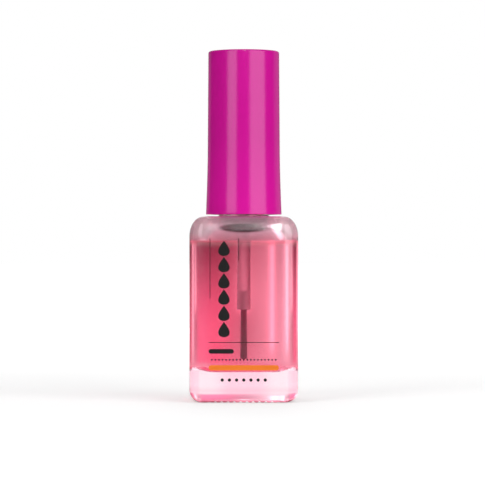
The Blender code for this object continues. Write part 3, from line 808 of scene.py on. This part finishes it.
def natural_polyethylene(base, film, rim):
    # Extruded natural polyethylene: milky above the oil, clearer where the oil wets it, milky again
    # round the bristles that are packed in its end, and denser along its outline
    material, tree, shader, place_on = textured("Extruded natural polyethylene", {
        "IOR": 1.04, "Transmission Weight": DRY_CLEARNESS, "Coat Weight": 0.4, "Coat Roughness": 0.2,
        "Coat IOR": 1.5})
    facing = add(tree, "ShaderNodeLayerWeight", {"Blend": 0.5}).node.outputs["Facing"]
    values = {**outputs(add(tree, "ShaderNodeSeparateXYZ", (place_on,))), "facing": facing,
              "base": (*base, 1.0), "film": (*film, 1.0), "rim": (*rim, 1.0)}
    chain(tree, values, STEM_LOOK)
    linked(tree, shader, values, ("Transmission Weight", "Base Color"))
    fill(tree, shader, patterned(tree, place_on, size=1.2 * MM, rough=(0.04, 0.1)))
    return material


def nylon_filament(base):
    # Drawn nylon filament: dark, with a fine satin sheen and slight differences between strands
    return finish("Drawn nylon filament", {"Roughness": 0.38, "IOR": 1.53},
                  size=0.12 * MM, detail=1.0, stretch=(1.0, 1.0, 0.02),
                  tones=(base, toned(base, NYLON_PALE)))


def plated_wire():
    # Nickel-plated steel wire: a cool metal with faint drawing lines along it
    return finish("Nickel-plated drawn wire", {"Base Color": (*linear("#C9C4BC"), 1.0), "Metallic": 1.0},
                  size=0.05 * MM, stretch=(0.05, 1.0, 1.0), rough=(0.2, 0.38))


def screen_ink(name, base):
    # Screen-printed enamel ink: opaque and even, slightly duller where the mesh left it thin
    return finish(name, {"IOR": 1.5}, size=0.15 * MM, rough=(0.24, 0.36),
                  tones=(base, toned(base, INK_THIN, INK_GREYNESS)))


NOTCH_SIDES = 16


def make_notches(size, half, material):
    """Short rods across the bearing ring, in a row along each side, none with an edge on its plane."""
    straight = 2 * (half - size.edge_radius)
    count = int(straight / size.notch_pitch / 2) * 2
    start = half - size.base_radius - size.bearing_width - size.push_up
    depth = half + SEAT_GAP - start
    lay_flat = Matrix.Rotation(QUARTER, 4, "X") @ Matrix.Rotation(math.pi / NOTCH_SIDES, 4, "Z")
    first = Vector((-(count - 1) / 2 * size.notch_pitch, start + depth / 2, 0.0))
    bm = bmesh.new()
    bmesh.ops.create_cone(bm, cap_ends=True, segments=NOTCH_SIDES, radius1=size.notch_radius,
                          radius2=size.notch_radius, depth=depth, matrix=lay_flat)
    row = grow(object_from(bm, "notch_row"), row_tree(), material,
               {"Count": count, "Step": (size.notch_pitch, 0.0, 0.0)})
    row.data.transform(Matrix.Translation(first))
    beside = new_object("side_notch_row", row.data.copy())
    beside.data.transform(Matrix.Rotation(QUARTER, 4, "Z"))
    return [grow(rods, ring_tree(), material, {"Count": 2}) for rods in (row, beside)]


class OILBOTTLE_OT_glass(bpy.types.Operator):
    """Make the square bottle with its neck thread and the notches round its base"""

    bl_idname = "oil_bottle.glass"
    bl_label = "Glass bottle"

    def execute(self, context):
        size = context.scene.oil_bottle_glass
        half = GLASS_HIGH.x - context.scene.oil_bottle_print.ink
        material = flint_glass("Pressed flint glass", size, GLASS_IOR, 1.0, GLASS_HAZE)
        heights = sorted([*cavity_heights(size), OIL_HIGH.z])
        cavity = [square_ring(*cavity_section(size, half, h), h) for h in reversed(heights)]
        bottle = object_from(loft(outer_rings(size, half) + neck_rings(size) + cavity), "bottle")
        paint(bottle, material)
        bottle.data.materials.append(
            flint_glass("Flint glass under oil", size, WETTED_IOR, 0.0, 0.0))
        for face in bottle.data.polygons:
            x, y, z = face.center
            inside = max(abs(x), abs(y)) < half - size.wall / 2
            face.material_index = int(inside and FLOOR_HEIGHT - MERGE_DISTANCE < z < OIL_HIGH.z)
        thread = make_thread("neck_thread", size.neck_width / 2, size.thread_depth, NECK_THREAD_WIDTH,
                             NECK_THREAD_TURNS, NECK_THREAD_START, 0.0, material)
        combine(bottle, [thread], "UNION")
        combine(bottle, make_notches(size, half, material), "DIFFERENCE")
        place(bottle, "bottle", "bottle_glass")
        return {"FINISHED"}


OIL_GAP = 0.02 * MM
MENISCUS_REACH = 0.5 * MM
MENISCUS_STEPS = 10
MENISCUS_REACHES = 3


class OILBOTTLE_OT_oil(bpy.types.Operator):
    """Make the oil that fills the bottle up to its meniscus"""

    bl_idname = "oil_bottle.oil"
    bl_label = "Oil"

    def execute(self, context):
        glass = context.scene.oil_bottle_glass
        size = context.scene.oil_bottle_oil
        half = GLASS_HIGH.x - context.scene.oil_bottle_print.ink
        edge = OIL_HIGH.z
        level = edge - size.meniscus
        heights = [h for h in cavity_heights(glass, OIL_GAP) if h < level] + [edge]
        rings = [square_ring(*cavity_section(glass, half, h, OIL_GAP), h) for h in heights]
        edge_half, edge_corner = cavity_section(glass, half, edge, OIL_GAP)
        for step in range(1, MENISCUS_STEPS + 1):
            inset = MENISCUS_REACHES * MENISCUS_REACH * step / MENISCUS_STEPS
            rise = size.meniscus * math.exp(-inset / MENISCUS_REACH)
            rings.append(square_ring(edge_half - inset, edge_corner - inset, level + rise))
        oil = object_from(loft(rings), "oil_fill")
        paint(oil, tinted_oil(size.tint, size.density))
        settle(oil)
        place(oil, "bottle", "oil")
        return {"FINISHED"}


FLARE_POWER = 1.5
FLARE_STEPS = 24
OVERCAP_END_WALL = 1.3 * MM
OVERCAP_LEDGE_HEIGHT = 60.3 * MM
OVERCAP_EDGE_RADIUS = 0.12 * MM
UPPER_WALL = 1.0 * MM
STOP_RIB_COUNT = 6
STOP_RIB_THICKNESS = 0.8 * MM
STOP_RIB_REACH = 1.4 * MM


def overcap_radius(size, height):
    """Outer radius of the overcap at a height above its lower edge: nearly straight, then flared."""
    if height < size.flare_height:
        flare = OVERCAP_HIGH.x - size.waist_radius
        return size.waist_radius + flare * (1 - height / size.flare_height) ** FLARE_POWER
    tall = OVERCAP_HIGH.z - OVERCAP_LOW.z
    share = (height - size.flare_height) / (tall - size.flare_height)
    return size.waist_radius + (size.top_radius - size.waist_radius) * share


def box_at(name, low, high):
    """A plain box between two corners."""
    size = high - low
    bm = bmesh.new()
    bmesh.ops.create_cube(bm, size=1.0, matrix=Matrix.Translation((low + high) / 2)
                          @ Matrix.Diagonal((*size, 1.0)))
    return object_from(bm, name)


def make_ribs(name, count, width, inner, outer, low, high, material):
    """Upright ribs of this width, spaced evenly about the Z axis."""
    rib = box_at(name, Vector((inner, -width / 2, low)), Vector((outer, width / 2, high)))
    return grow(rib, ring_tree(), material, {"Count": count})


class OILBOTTLE_OT_overcap(bpy.types.Operator):
    """Make the tall flared overcap with the stop ribs inside it"""

    bl_idname = "oil_bottle.overcap"
    bl_label = "Overcap"

    def execute(self, context):
        size = context.scene.oil_bottle_cap
        material = magenta_polypropylene(size.magenta)
        low, high = OVERCAP_LOW.z, OVERCAP_HIGH.z
        fillet = size.top_fillet
        edge = OVERCAP_EDGE_RADIUS
        shoulder = overcap_radius(size, high - low - fillet)
        profile = [(0.0, high)] + arc((shoulder - fillet, high - fillet), fillet, 90, 0)
        for step in range(FLARE_STEPS):
            height = size.flare_height * (1 - step / FLARE_STEPS)
            profile.append((overcap_radius(size, height), low + height))
        profile += arc((overcap_radius(size, edge) - edge, low + edge), edge, 0, -90)
        profile += arc((size.bore_radius + edge, low + edge), edge, 270, 180)
        upper = size.waist_radius - UPPER_WALL
        ceiling = high - OVERCAP_END_WALL
        profile += [(size.bore_radius, OVERCAP_LEDGE_HEIGHT), (upper, OVERCAP_LEDGE_HEIGHT)]
        profile += arc((upper - fillet, ceiling - fillet), fillet, 0, 90)
        profile.append((0.0, ceiling))
        overcap = turned("cap_shell", profile, material)
        bite = UPPER_WALL / 2
        ribs = make_ribs("stop_ribs", STOP_RIB_COUNT, STOP_RIB_THICKNESS, upper - STOP_RIB_REACH,
                         upper + bite, OVERCAP_LEDGE_HEIGHT, ceiling + bite, material)
        combine(overcap, [ribs], "UNION")
        place(overcap, "cap", "overcap")
        return {"FINISHED"}


WEB_LOW = 58.8 * MM
WEB_THICKNESS = 1.2 * MM
SOCKET_BORE = 2.9 * MM
SOCKET_WALL = 1.0 * MM
SKIRT_CHAMFER = 0.5 * MM
GRIP_RIB_COUNT = 16
GRIP_RIB_WIDTH = 0.6 * MM
GRIP_RIB_MARGIN = 1.0 * MM


class OILBOTTLE_OT_inner_cap(bpy.types.Operator):
    """Make the threaded inner cap with its grip ribs and its socket for the brush"""

    bl_idname = "oil_bottle.inner_cap"
    bl_label = "Inner cap"

    def execute(self, context):
        size = context.scene.oil_bottle_cap
        material = white_polypropylene(size.white)
        low, high = INNER_LOW.z, INNER_HIGH.z
        web_high = WEB_LOW + WEB_THICKNESS
        shoulder = web_high - SKIRT_CHAMFER
        socket = SOCKET_BORE + SOCKET_WALL
        lip = OVERCAP_EDGE_RADIUS
        profile = [(socket - lip, high), (socket, high - lip), (socket, web_high)]
        profile += arc((size.skirt_radius - SKIRT_CHAMFER, shoulder), SKIRT_CHAMFER, 90, 0)
        profile += arc((size.skirt_radius - lip, low + lip), lip, 0, -90)
        profile += arc((size.skirt_bore + lip, low + lip), lip, 270, 180)
        profile += [(size.skirt_bore, WEB_LOW), (SOCKET_BORE, WEB_LOW), (SOCKET_BORE, high)]
        inner = turned("inner_cap_ferrule", profile, material)
        ribs = make_ribs("grip_ribs", GRIP_RIB_COUNT, GRIP_RIB_WIDTH, size.skirt_bore + SEAT_GAP,
                         INNER_HIGH.x, low + GRIP_RIB_MARGIN, shoulder - GRIP_RIB_MARGIN, material)
        lead = (CAP_THREAD_START - NECK_THREAD_START) / THREAD_PITCH
        thread = make_thread("cap_thread", size.skirt_bore, -CAP_THREAD_DEPTH, CAP_THREAD_WIDTH,
                             CAP_THREAD_TURNS, CAP_THREAD_START, math.tau * (lead - 0.5), material)
        combine(inner, [ribs], "UNION")
        combine(inner, [thread], "UNION")
        place(inner, "cap", "inner_cap")
        return {"FINISHED"}


WASHER_EDGE = 0.2 * MM


class OILBOTTLE_OT_seal(bpy.types.Operator):
    """Make the foam washer that seals the glass rim"""

    bl_idname = "oil_bottle.seal"
    bl_label = "Seal washer"

    def execute(self, context):
        size = context.scene.oil_bottle_cap
        outer = WASHER_HIGH.x - WASHER_EDGE
        inner = STEM_RADIUS + SEAT_GAP
        low, high = WASHER_LOW.z, WASHER_HIGH.z
        profile = arc((outer, high - WASHER_EDGE), WASHER_EDGE, 90, 0)
        profile += arc((outer, low + WASHER_EDGE), WASHER_EDGE, 0, -90)
        profile += [(inner, low), (inner, high)]
        washer = turned("sealing_washer", profile, polyethylene_foam(size.foam))
        place(washer, "washer", "seal_washer")
        return {"FINISHED"}


COLLAR_RADIUS = 5.6 * MM
COLLAR_LOW = 57.0 * MM
COLLAR_THICKNESS = 1.5 * MM
PLUG_RADIUS = 2.6 * MM
BARB_REACH = 0.5 * MM
BARB_HEIGHT = 1.2 * MM
BARB_LAND = 0.4 * MM
BEAD_TOP = 52.425 * MM
BEAD_REACH = 0.5 * MM
STEM_END_CHAMFER = 0.3 * MM
BUNDLE_DEPTH = TUFT_HIGH.z - STEM_LOW.z
BUNDLE_FIT = 0.15 * MM
STAPLE_ROUNDING = 3
STEM_STEPS = 64
STAPLE_EDGE_STEPS = 3
RAGGED = 0.2 * MM
STRAND_BEND = 0.05 * MM
TUFT_SEED = 7


class OILBOTTLE_OT_brush(bpy.types.Operator):
    """Make the translucent stem, its wire staple and the bristles"""

    bl_idname = "oil_bottle.brush"
    bl_label = "Brush"

    def execute(self, context):
        size = context.scene.oil_bottle_brush
        top = STEM_HIGH.z
        barb = PLUG_RADIUS + BARB_REACH
        barb_low = top - BARB_HEIGHT
        collar_high = COLLAR_LOW + COLLAR_THICKNESS
        end = STEM_LOW.z
        chamfer = STEM_END_CHAMFER
        bore_top = end + BUNDLE_DEPTH + BUNDLE_FIT
        profile = [(0.0, top), (PLUG_RADIUS, top), (barb, barb_low + BARB_LAND), (barb, barb_low),
                   (PLUG_RADIUS, barb_low), (PLUG_RADIUS, collar_high), (COLLAR_RADIUS, collar_high),
                   (COLLAR_RADIUS, COLLAR_LOW), (STEM_RADIUS, COLLAR_LOW), (STEM_RADIUS, BEAD_TOP)]
        profile += arc((STEM_RADIUS, BEAD_TOP - BEAD_REACH), BEAD_REACH, 90, -90, 2 * FILLET_STEPS)
        profile += arc((STEM_RADIUS - chamfer, end + chamfer), chamfer, 0, -90)
        profile += [(STEM_BORE_RADIUS, end), (STEM_BORE_RADIUS, bore_top), (0.0, bore_top)]
        stem = turned("stem", profile, natural_polyethylene(size.stem, size.film, size.rim), STEM_STEPS)
        place(stem, "brush", "brush_stem")

        staple = box_at("anchor_staple", STAPLE_LOW, STAPLE_HIGH)
        bevel = staple.modifiers.new("Rolled edges", "BEVEL")
        bevel.width = (STAPLE_HIGH.y - STAPLE_LOW.y) / STAPLE_ROUNDING
        bevel.segments = STAPLE_EDGE_STEPS
        settle(staple)
        paint(staple, plated_wire())
        place(staple, "brush", "staple")

        tuft = new_object("bristles", bpy.data.meshes.new("bristles"))
        grow(tuft, bristle_tree(), nylon_filament(size.bristle), {
            "Strands": size.strands, "Strand Radius": size.strand_radius,
            "Root Radius": BUNDLE_RADIUS - size.strand_radius,
            "Tip Radius": size.tip_radius - STRAND_BEND - size.strand_radius,
            "Root Height": TUFT_HIGH.z, "Length": TUFT_HIGH.z - TUFT_LOW.z,
            "Ragged": RAGGED, "Bend": STRAND_BEND, "Seed": TUFT_SEED})
        place(tuft, "brush", "bristle_tuft")
        return {"FINISHED"}


INK_BITE = 4 * UM
PANEL_WIDTH = 16.7 * MM
DROP_STEPS = 40
DROP_POWER = 1.4
DROP_WIDTH = 2.7 * MM
DROP_HEIGHT = 3.7 * MM
DROP_STEP = 3.85 * MM
DROP_ROW_X = -4.7 * MM
DROP_ROW_TOP = 38.6 * MM
RULE_THICKNESS = 0.16 * MM
RULE_TOP = 39.2 * MM
RULE_LENGTH = 14.4 * MM
SHORT_RULE_LENGTH = 5.4 * MM
BAR_WIDTH = 6.0 * MM

# Level rows of dots: name, size of a dot, step, number of dots, height
DOT_ROWS = (
    ("printed_dots", 0.42 * MM, 0.84 * MM, 19, 10.3 * MM),
    ("printed_low_dots", 0.8 * MM, 1.7 * MM, 7, 5.5 * MM),
)

# Straight bars of ink: name, length, thickness, place across, height of its middle, upright
BARS = (
    ("printed_rule", RULE_LENGTH, RULE_THICKNESS, -8.0 * MM, RULE_TOP - RULE_LENGTH / 2, True),
    ("printed_short_rule", SHORT_RULE_LENGTH, RULE_THICKNESS, -1.2 * MM,
     RULE_TOP - SHORT_RULE_LENGTH / 2, True),
    ("printed_line", PANEL_WIDTH, RULE_THICKNESS, 0.0, 14.4 * MM, False),
    ("printed_bar", BAR_WIDTH, 1.1 * MM, (BAR_WIDTH - PANEL_WIDTH) / 2, 12.3 * MM, False),
    ("printed_band", PANEL_WIDTH, 1.25 * MM, 0.0, 8.4 * MM, False),
)


def flat_ink(name, outline, thickness):
    """A closed sheet of ink with this (x, z) outline on the front panel."""
    front = GLASS_HIGH.x
    bm = bmesh.new()
    back = [bm.verts.new((x, -(front - thickness - INK_BITE), z)) for x, z in outline]
    face = [bm.verts.new((x, -front, z)) for x, z in outline]
    bm.faces.new(back)
    bm.faces.new(face[::-1])
    for i in range(len(outline)):
        j = (i + 1) % len(outline)
        bm.faces.new((back[i], back[j], face[j], face[i]))
    return object_from(bm, name)


def drop_outline(width, height):
    """A drop of oil with its point up, about its middle."""
    turns = [math.tau * step / DROP_STEPS for step in range(DROP_STEPS)]
    across = [math.sin(t) * math.sin(t / 2) ** DROP_POWER for t in turns]
    widest = max(across)
    return [(width / 2 * x / widest, height / 2 * math.cos(t)) for x, t in zip(across, turns)]


def bar_outline(width, height):
    """A bar with round ends, about its middle."""
    radius = height / 2
    reach = width / 2 - radius
    return arc((-reach, 0.0), radius, 90, 270) + arc((reach, 0.0), radius, -90, 90)


class OILBOTTLE_OT_print(bpy.types.Operator):
    """Make the screen print on the front panel: a row of drops, thin rules and an orange band"""

    bl_idname = "oil_bottle.print"
    bl_label = "Print"

    def execute(self, context):
        size = context.scene.oil_bottle_print
        black = screen_ink("Black screen ink", size.dark)
        orange = screen_ink("Orange screen ink", size.bright)
        rows = [("printed_drops", drop_outline(DROP_WIDTH, DROP_HEIGHT), size.drops,
                 (0.0, 0.0, -DROP_STEP), (DROP_ROW_X, 0.0, DROP_ROW_TOP - DROP_HEIGHT / 2))]
        for name, dot, step, count, height in DOT_ROWS:
            first = ((1 - count) / 2 * step, 0.0, height)
            rows.append((name, bar_outline(dot, dot), count, (step, 0.0, 0.0), first))
        for name, outline, count, step, first in rows:
            shape = flat_ink(name, outline, size.ink)
            grow(shape, row_tree(), black, {"Count": count, "Step": step})
            shape.data.transform(Matrix.Translation(first))
            place(shape, "bottle")
        for name, wide, thick, x, z, upright in BARS:
            bar = flat_ink(name, bar_outline(wide, thick), size.ink)
            turn = Matrix.Rotation(QUARTER, 4, "Y") if upright else Matrix.Identity(4)
            bar.data.transform(Matrix.Translation((x, 0.0, z)) @ turn)
            settle(bar)
            paint(bar, orange if name == "printed_band" else black)
            place(bar, "bottle")
        return {"FINISHED"}


SENSOR = 36 * MM
FRAME_WIDTH = 117.3 * MM
LIGHT_DISTANCE = 0.55
LIGHT_HEIGHT = 0.75
FLOOR_SIZE = 8.0
FLOOR_DROP = 0.02 * MM
BOUNCES = 24

# Brightness of the surround, by where a ray is heading and by its kind
SEEN_WHITE = 1.0
DIFFUSE_SKY = 0.3
GLOSSY_SKY = 0.03
SKY_LOOK = (
    ("upper", "SMOOTH", "X", 0.3, 0.6, 0.33, 5.0),
    ("through", "RANGE", "Z", 0.0, 0.4, SEEN_WHITE, "upper"),
    ("shaded", "MIX", "Is Glossy Ray", DIFFUSE_SKY, GLOSSY_SKY),
    ("past glass", "MIX", "Is Transmission Ray", "shaded", "through"),
    ("Strength", "MIX", "Is Camera Ray", "past glass", SEEN_WHITE),
)

# Glow of the floor round the bottle and right under it, by the distance from its axis
FLOOR_GLOW_PAST_GLASS = 0.35
FLOOR_LOOK = (
    ("away", "VECTOR_LENGTH", "place"),
    ("round bottle", "SMOOTH", "away", 0.08, 0.5, 0.40, 0.86),
    ("under glass", "SMOOTH", "away", 8 * MM, 11 * MM, 0.45, 0.0),
    ("total", "ADD", "round bottle", "under glass"),
    ("seen", "MAXIMUM", "Is Camera Ray", "Is Transmission Ray"),
    ("plain", "MULTIPLY", "seen", "total"),
    ("Emission Strength", "MULTIPLY_ADD", "Is Transmission Ray", FLOOR_GLOW_PAST_GLASS, "plain"),
)

# The curved card behind the bottle that only its glass and oil show
CARD_RADIUS = 45 * MM
CARD_REACH = math.radians(110)
CARD_LOW = 1 * MM
CARD_HIGH = 60 * MM
CARD_STEPS = 88
CARD_STRIP_X = 7.9 * MM
CARD_SHADE_HEIGHT = 15 * MM
CARD_SHADE_SCALE = (1 / (7.5 * MM), 0.0, 1 / (15 * MM))
FIRST_BOUNCE = 0.5
CARD_TINGE = (1.0, 0.33, 0.54, 1.0)
CARD_EDGE_TINGE = (1.0, 0.26, 0.46, 1.0)
CARD_LOW_LIGHT = 1.1
CARD_STEM_LIGHT = 1.9

# How the card's light and tinge are graded, by place on the card and by distance from the brush's shade.
# A smooth step has its measure, its start and end, and its level at each.
CARD_LOOK = (
    ("behind", "VECTOR_SUBTRACT", "place", (0.0, 0.0, CARD_SHADE_HEIGHT)),
    ("shrunk", "VECTOR_MULTIPLY", "behind", CARD_SHADE_SCALE),
    ("near", "VECTOR_LENGTH", "shrunk"),
    ("past strip", "SUBTRACT", "X", CARD_STRIP_X),
    ("beside", "ABSOLUTE", "past strip"),
    ("aside", "ABSOLUTE", "X"),
    ("left outline", "SMOOTH", "X", 12 * MM, 16 * MM, 1.0, 0.0),
    ("right outline", "SMOOTH", "X", -22 * MM, -16 * MM, 1.0, 0.0),
    ("past middle", "SMOOTH", "X", -8 * MM, 8 * MM, 0.0, 1.0),
    ("inside", "MULTIPLY", "past middle", "left outline"),
    ("right", "MAXIMUM", "inside", "right outline"),
    ("left light", "SMOOTH", "Z", 14 * MM, 43 * MM, 1.2, 0.22),
    ("right light", "SMOOTH", "Z", 20 * MM, 44 * MM, 1.1, 0.76),
    ("level", "MIX", "right", "left light", "right light"),
    ("left edge", "SMOOTH", "X", 15 * MM, 19 * MM, 1.0, 0.75),
    ("lowered", "MULTIPLY", "level", "left edge"),
    ("outline light", "SMOOTH", "Z", 10 * MM, 18 * MM, 1.15, 2.1),
    ("lifted", "MIX", "right outline", 1.0, "outline light"),
    ("raised", "MULTIPLY", "lowered", "lifted"),
    ("strip", "SMOOTH", "beside", 0.4 * MM, 1.7 * MM, 1.3, 0.0),
    ("above base", "SMOOTH", "Z", 7 * MM, 14 * MM, 0.0, 1.0),
    ("lit", "MULTIPLY_ADD", "strip", "above base", "raised"),
    ("brush shade", "SMOOTH", "near", 0.0, 1.0, 0.7, 1.0),
    ("dimmed", "MULTIPLY", "lit", "brush shade"),
    ("behind stem", "SMOOTH", "aside", 1.1 * MM, 1.8 * MM, 1.0, 0.0),
    ("stem height", "SMOOTH", "Z", 19 * MM, 22 * MM, 0.0, 1.0),
    ("stem", "MULTIPLY", "behind stem", "stem height"),
    ("painted light lift", "MIX", "stem", 1.0, CARD_STEM_LIGHT),
    ("shaded", "MULTIPLY", "dimmed", "painted light lift"),
    ("low", "SMOOTH", "Z", 5 * MM, 8 * MM, 1.0, 0.0),
    ("shown", "MIX", "low", "shaded", CARD_LOW_LIGHT),
    ("direct", "LESS_THAN", "Diffuse Depth", FIRST_BOUNCE),
    ("Strength", "MULTIPLY", "shown", "direct"),
    ("clear", "MAXIMUM", "right", "low"),
    ("pale", "MAXIMUM", "clear", "stem"),
    ("pink", "BLEND", "left outline", CARD_EDGE_TINGE, CARD_TINGE),
    ("Color", "BLEND", "pale", "pink", WHITE),
)

# Soft boxes: name, first and last angle from the camera's side, lower edge, radiance, seen through glass
SOFT_BOXES = (
    ("left_strip", -53, -23, 0.05, 2.2, True),
    ("right_box", 19, 71, 0.0, 2.2, False),
    ("right_rim", 113, 154, 0.0, 0.25, False),
    ("left_rim", -164, -134, 0.0, 0.2, False),
    ("back_box", 164, 196, 0.0, 1.0, False),
)

# Narrow ovals above the camera, whose light only glints: name, place across, width, radiance
GLINTS = (
    ("right_glint", 20 * MM, 18 * MM, 14.0),
    ("right_halo", 27 * MM, 36 * MM, 2.5),
    ("left_glint", -15 * MM, 12 * MM, 1.0),
)
GLINT_DISTANCE = 0.45
GLINT_RISE = math.radians(43)
GLINT_LENGTH = 0.34


class OILBOTTLE_OT_stage(bpy.types.Operator):
    """Make the floor, the soft boxes, the white surround and the camera"""

    bl_idname = "oil_bottle.stage"
    bl_label = "Stage"

    def execute(self, context):
        scene = context.scene
        size = scene.oil_bottle_stage
        self.make_floor(size)
        self.make_card()
        for name, first, last, low, radiance, through in SOFT_BOXES:
            turn = math.radians((first + last) / 2)
            width = 2 * LIGHT_DISTANCE * math.tan(math.radians(last - first) / 2)
            spot = (LIGHT_DISTANCE * math.sin(turn), -LIGHT_DISTANCE * math.cos(turn),
                    low + LIGHT_HEIGHT / 2)
            box = self.make_lamp(name, "RECTANGLE", width, LIGHT_HEIGHT, radiance, spot,
                                 (QUARTER, 0.0, turn))
            box.visible_transmission = through
        for name, across, width, radiance in GLINTS:
            spot = (across, -GLINT_DISTANCE * math.cos(GLINT_RISE),
                    BODY_HEIGHT + GLINT_DISTANCE * math.sin(GLINT_RISE))
            oval = self.make_lamp(name, "ELLIPSE", width, GLINT_LENGTH, radiance, spot,
                                  (QUARTER - GLINT_RISE, 0.0, 0.0))
            oval.visible_diffuse = False
            oval.visible_transmission = False
        self.make_surround(scene)
        camera = bpy.data.cameras.new("camera")
        camera.sensor_width = SENSOR / MM
        camera.lens = SENSOR * size.distance / FRAME_WIDTH / MM
        camera.clip_start = size.distance / 100
        camera.clip_end = FLOOR_SIZE * 2
        eye = new_object("camera", camera)
        eye.location = (size.side, -size.distance, size.height)
        eye.rotation_euler = (QUARTER, 0.0, 0.0)
        scene.camera = eye
        scene.view_settings.view_transform = "Standard"
        scene.cycles.max_bounces = BOUNCES
        scene.cycles.transmission_bounces = BOUNCES
        scene.cycles.glossy_bounces = BOUNCES // 2
        return {"FINISHED"}

    def make_floor(self, size):
        bm = bmesh.new()
        bmesh.ops.create_grid(bm, x_segments=1, y_segments=1, size=FLOOR_SIZE / 2,
                              matrix=Matrix.Translation((0.0, 0.0, -FLOOR_DROP)))
        floor = object_from(bm, "floor")
        # Matte white board that glows a little, so that the camera sees it as bright as the surround
        material, tree, shader, place_on = textured("Pale matte board", {
            "Base Color": (*size.floor, 1.0), "Roughness": 0.9, "Specular IOR Level": 0.2,
            "Emission Color": WHITE})
        values = {**outputs(add(tree, "ShaderNodeLightPath")), "place": place_on}
        linked(tree, shader, chain(tree, values, FLOOR_LOOK), ("Emission Strength",))
        paint(floor, material)

    def make_card(self):
        bm = bmesh.new()
        turns = [CARD_REACH * (2 * step / CARD_STEPS - 1) for step in range(CARD_STEPS + 1)]
        spots = [(CARD_RADIUS * math.sin(turn), CARD_RADIUS * math.cos(turn)) for turn in turns]
        low, high = ([bm.verts.new((*spot, z)) for spot in spots] for z in (CARD_LOW, CARD_HIGH))
        for i in range(CARD_STEPS):
            bm.faces.new((low[i], low[i + 1], high[i + 1], high[i]))
        card = object_from(bm, "graded_card")
        # Backlit card with graded light, whose streaks the glass and the oil bend into view
        material = bpy.data.materials.new("Graded backlit card")
        material.use_nodes = True
        tree = material.node_tree
        tree.nodes.clear()
        place_on = add(tree, "ShaderNodeTexCoord").node.outputs["Object"]
        values = {**outputs(add(tree, "ShaderNodeSeparateXYZ", (place_on,))),
                  **outputs(add(tree, "ShaderNodeLightPath")), "place": place_on}
        chain(tree, values, CARD_LOOK)
        light = add(tree, "ShaderNodeEmission", (values["Color"], values["Strength"]))
        add(tree, "ShaderNodeOutputMaterial", (light,))
        paint(card, material)
        for ray in ("camera", "diffuse", "glossy", "shadow"):
            setattr(card, f"visible_{ray}", False)

    def make_lamp(self, name, shape, width, tall, radiance, location, rotation):
        lamp = bpy.data.lights.new(name, "AREA")
        lamp.shape = shape
        lamp.size = width
        lamp.size_y = tall
        lamp.energy = radiance * math.pi * width * tall
        box = new_object(name, lamp)
        box.location = location
        box.rotation_euler = rotation
        box.visible_camera = False
        return box

    def make_surround(self, scene):
        world = bpy.data.worlds.new("White studio")
        world.use_nodes = True
        scene.world = world
        tree = world.node_tree
        tree.nodes.clear()
        heading = add(tree, "ShaderNodeTexCoord").node.outputs["Generated"]
        values = {**outputs(add(tree, "ShaderNodeSeparateXYZ", (heading,))),
                  **outputs(add(tree, "ShaderNodeLightPath"))}
        chain(tree, values, SKY_LOOK)
        sky = add(tree, "ShaderNodeBackground", (WHITE, values["Strength"]))
        add(tree, "ShaderNodeOutputWorld", (sky,))


OPERATORS = (
    OILBOTTLE_OT_stage,
    OILBOTTLE_OT_glass,
    OILBOTTLE_OT_oil,
    OILBOTTLE_OT_overcap,
    OILBOTTLE_OT_inner_cap,
    OILBOTTLE_OT_seal,
    OILBOTTLE_OT_brush,
    OILBOTTLE_OT_print,
)

SETTINGS = {
    "oil_bottle_glass": GlassSettings,
    "oil_bottle_oil": OilSettings,
    "oil_bottle_cap": CapSettings,
    "oil_bottle_brush": BrushSettings,
    "oil_bottle_print": PrintSettings,
    "oil_bottle_stage": StageSettings,
}


class OILBOTTLE_PT_panel(bpy.types.Panel):
    """Sizes, colours and the pieces of the bottle"""

    bl_idname = "OILBOTTLE_PT_panel"
    bl_label = "Cuticle Oil Bottle"
    bl_space_type = "VIEW_3D"
    bl_region_type = "UI"
    bl_category = "Oil Bottle"

    def draw(self, context):
        for operator in OPERATORS:
            self.layout.operator(operator.bl_idname)
        for name in SETTINGS:
            settings = getattr(context.scene, name)
            box = self.layout.box()
            for setting in settings.__annotations__:
                box.prop(settings, setting)


CLASSES = (*SETTINGS.values(), *OPERATORS, OILBOTTLE_PT_panel)


def register():
    for cls in CLASSES:
        bpy.utils.register_class(cls)
    for name, cls in SETTINGS.items():
        setattr(bpy.types.Scene, name, bpy.props.PointerProperty(type=cls))


def unregister():
    for name in SETTINGS:
        delattr(bpy.types.Scene, name)
    for cls in reversed(CLASSES):
        bpy.utils.unregister_class(cls)


def main():
    register()
    bpy.ops.oil_bottle.stage()
    bpy.ops.oil_bottle.glass()
    bpy.ops.oil_bottle.oil()
    bpy.ops.oil_bottle.overcap()
    bpy.ops.oil_bottle.inner_cap()
    bpy.ops.oil_bottle.seal()
    bpy.ops.oil_bottle.brush()
    bpy.ops.oil_bottle.print()


if __name__ == "__main__":
    main()
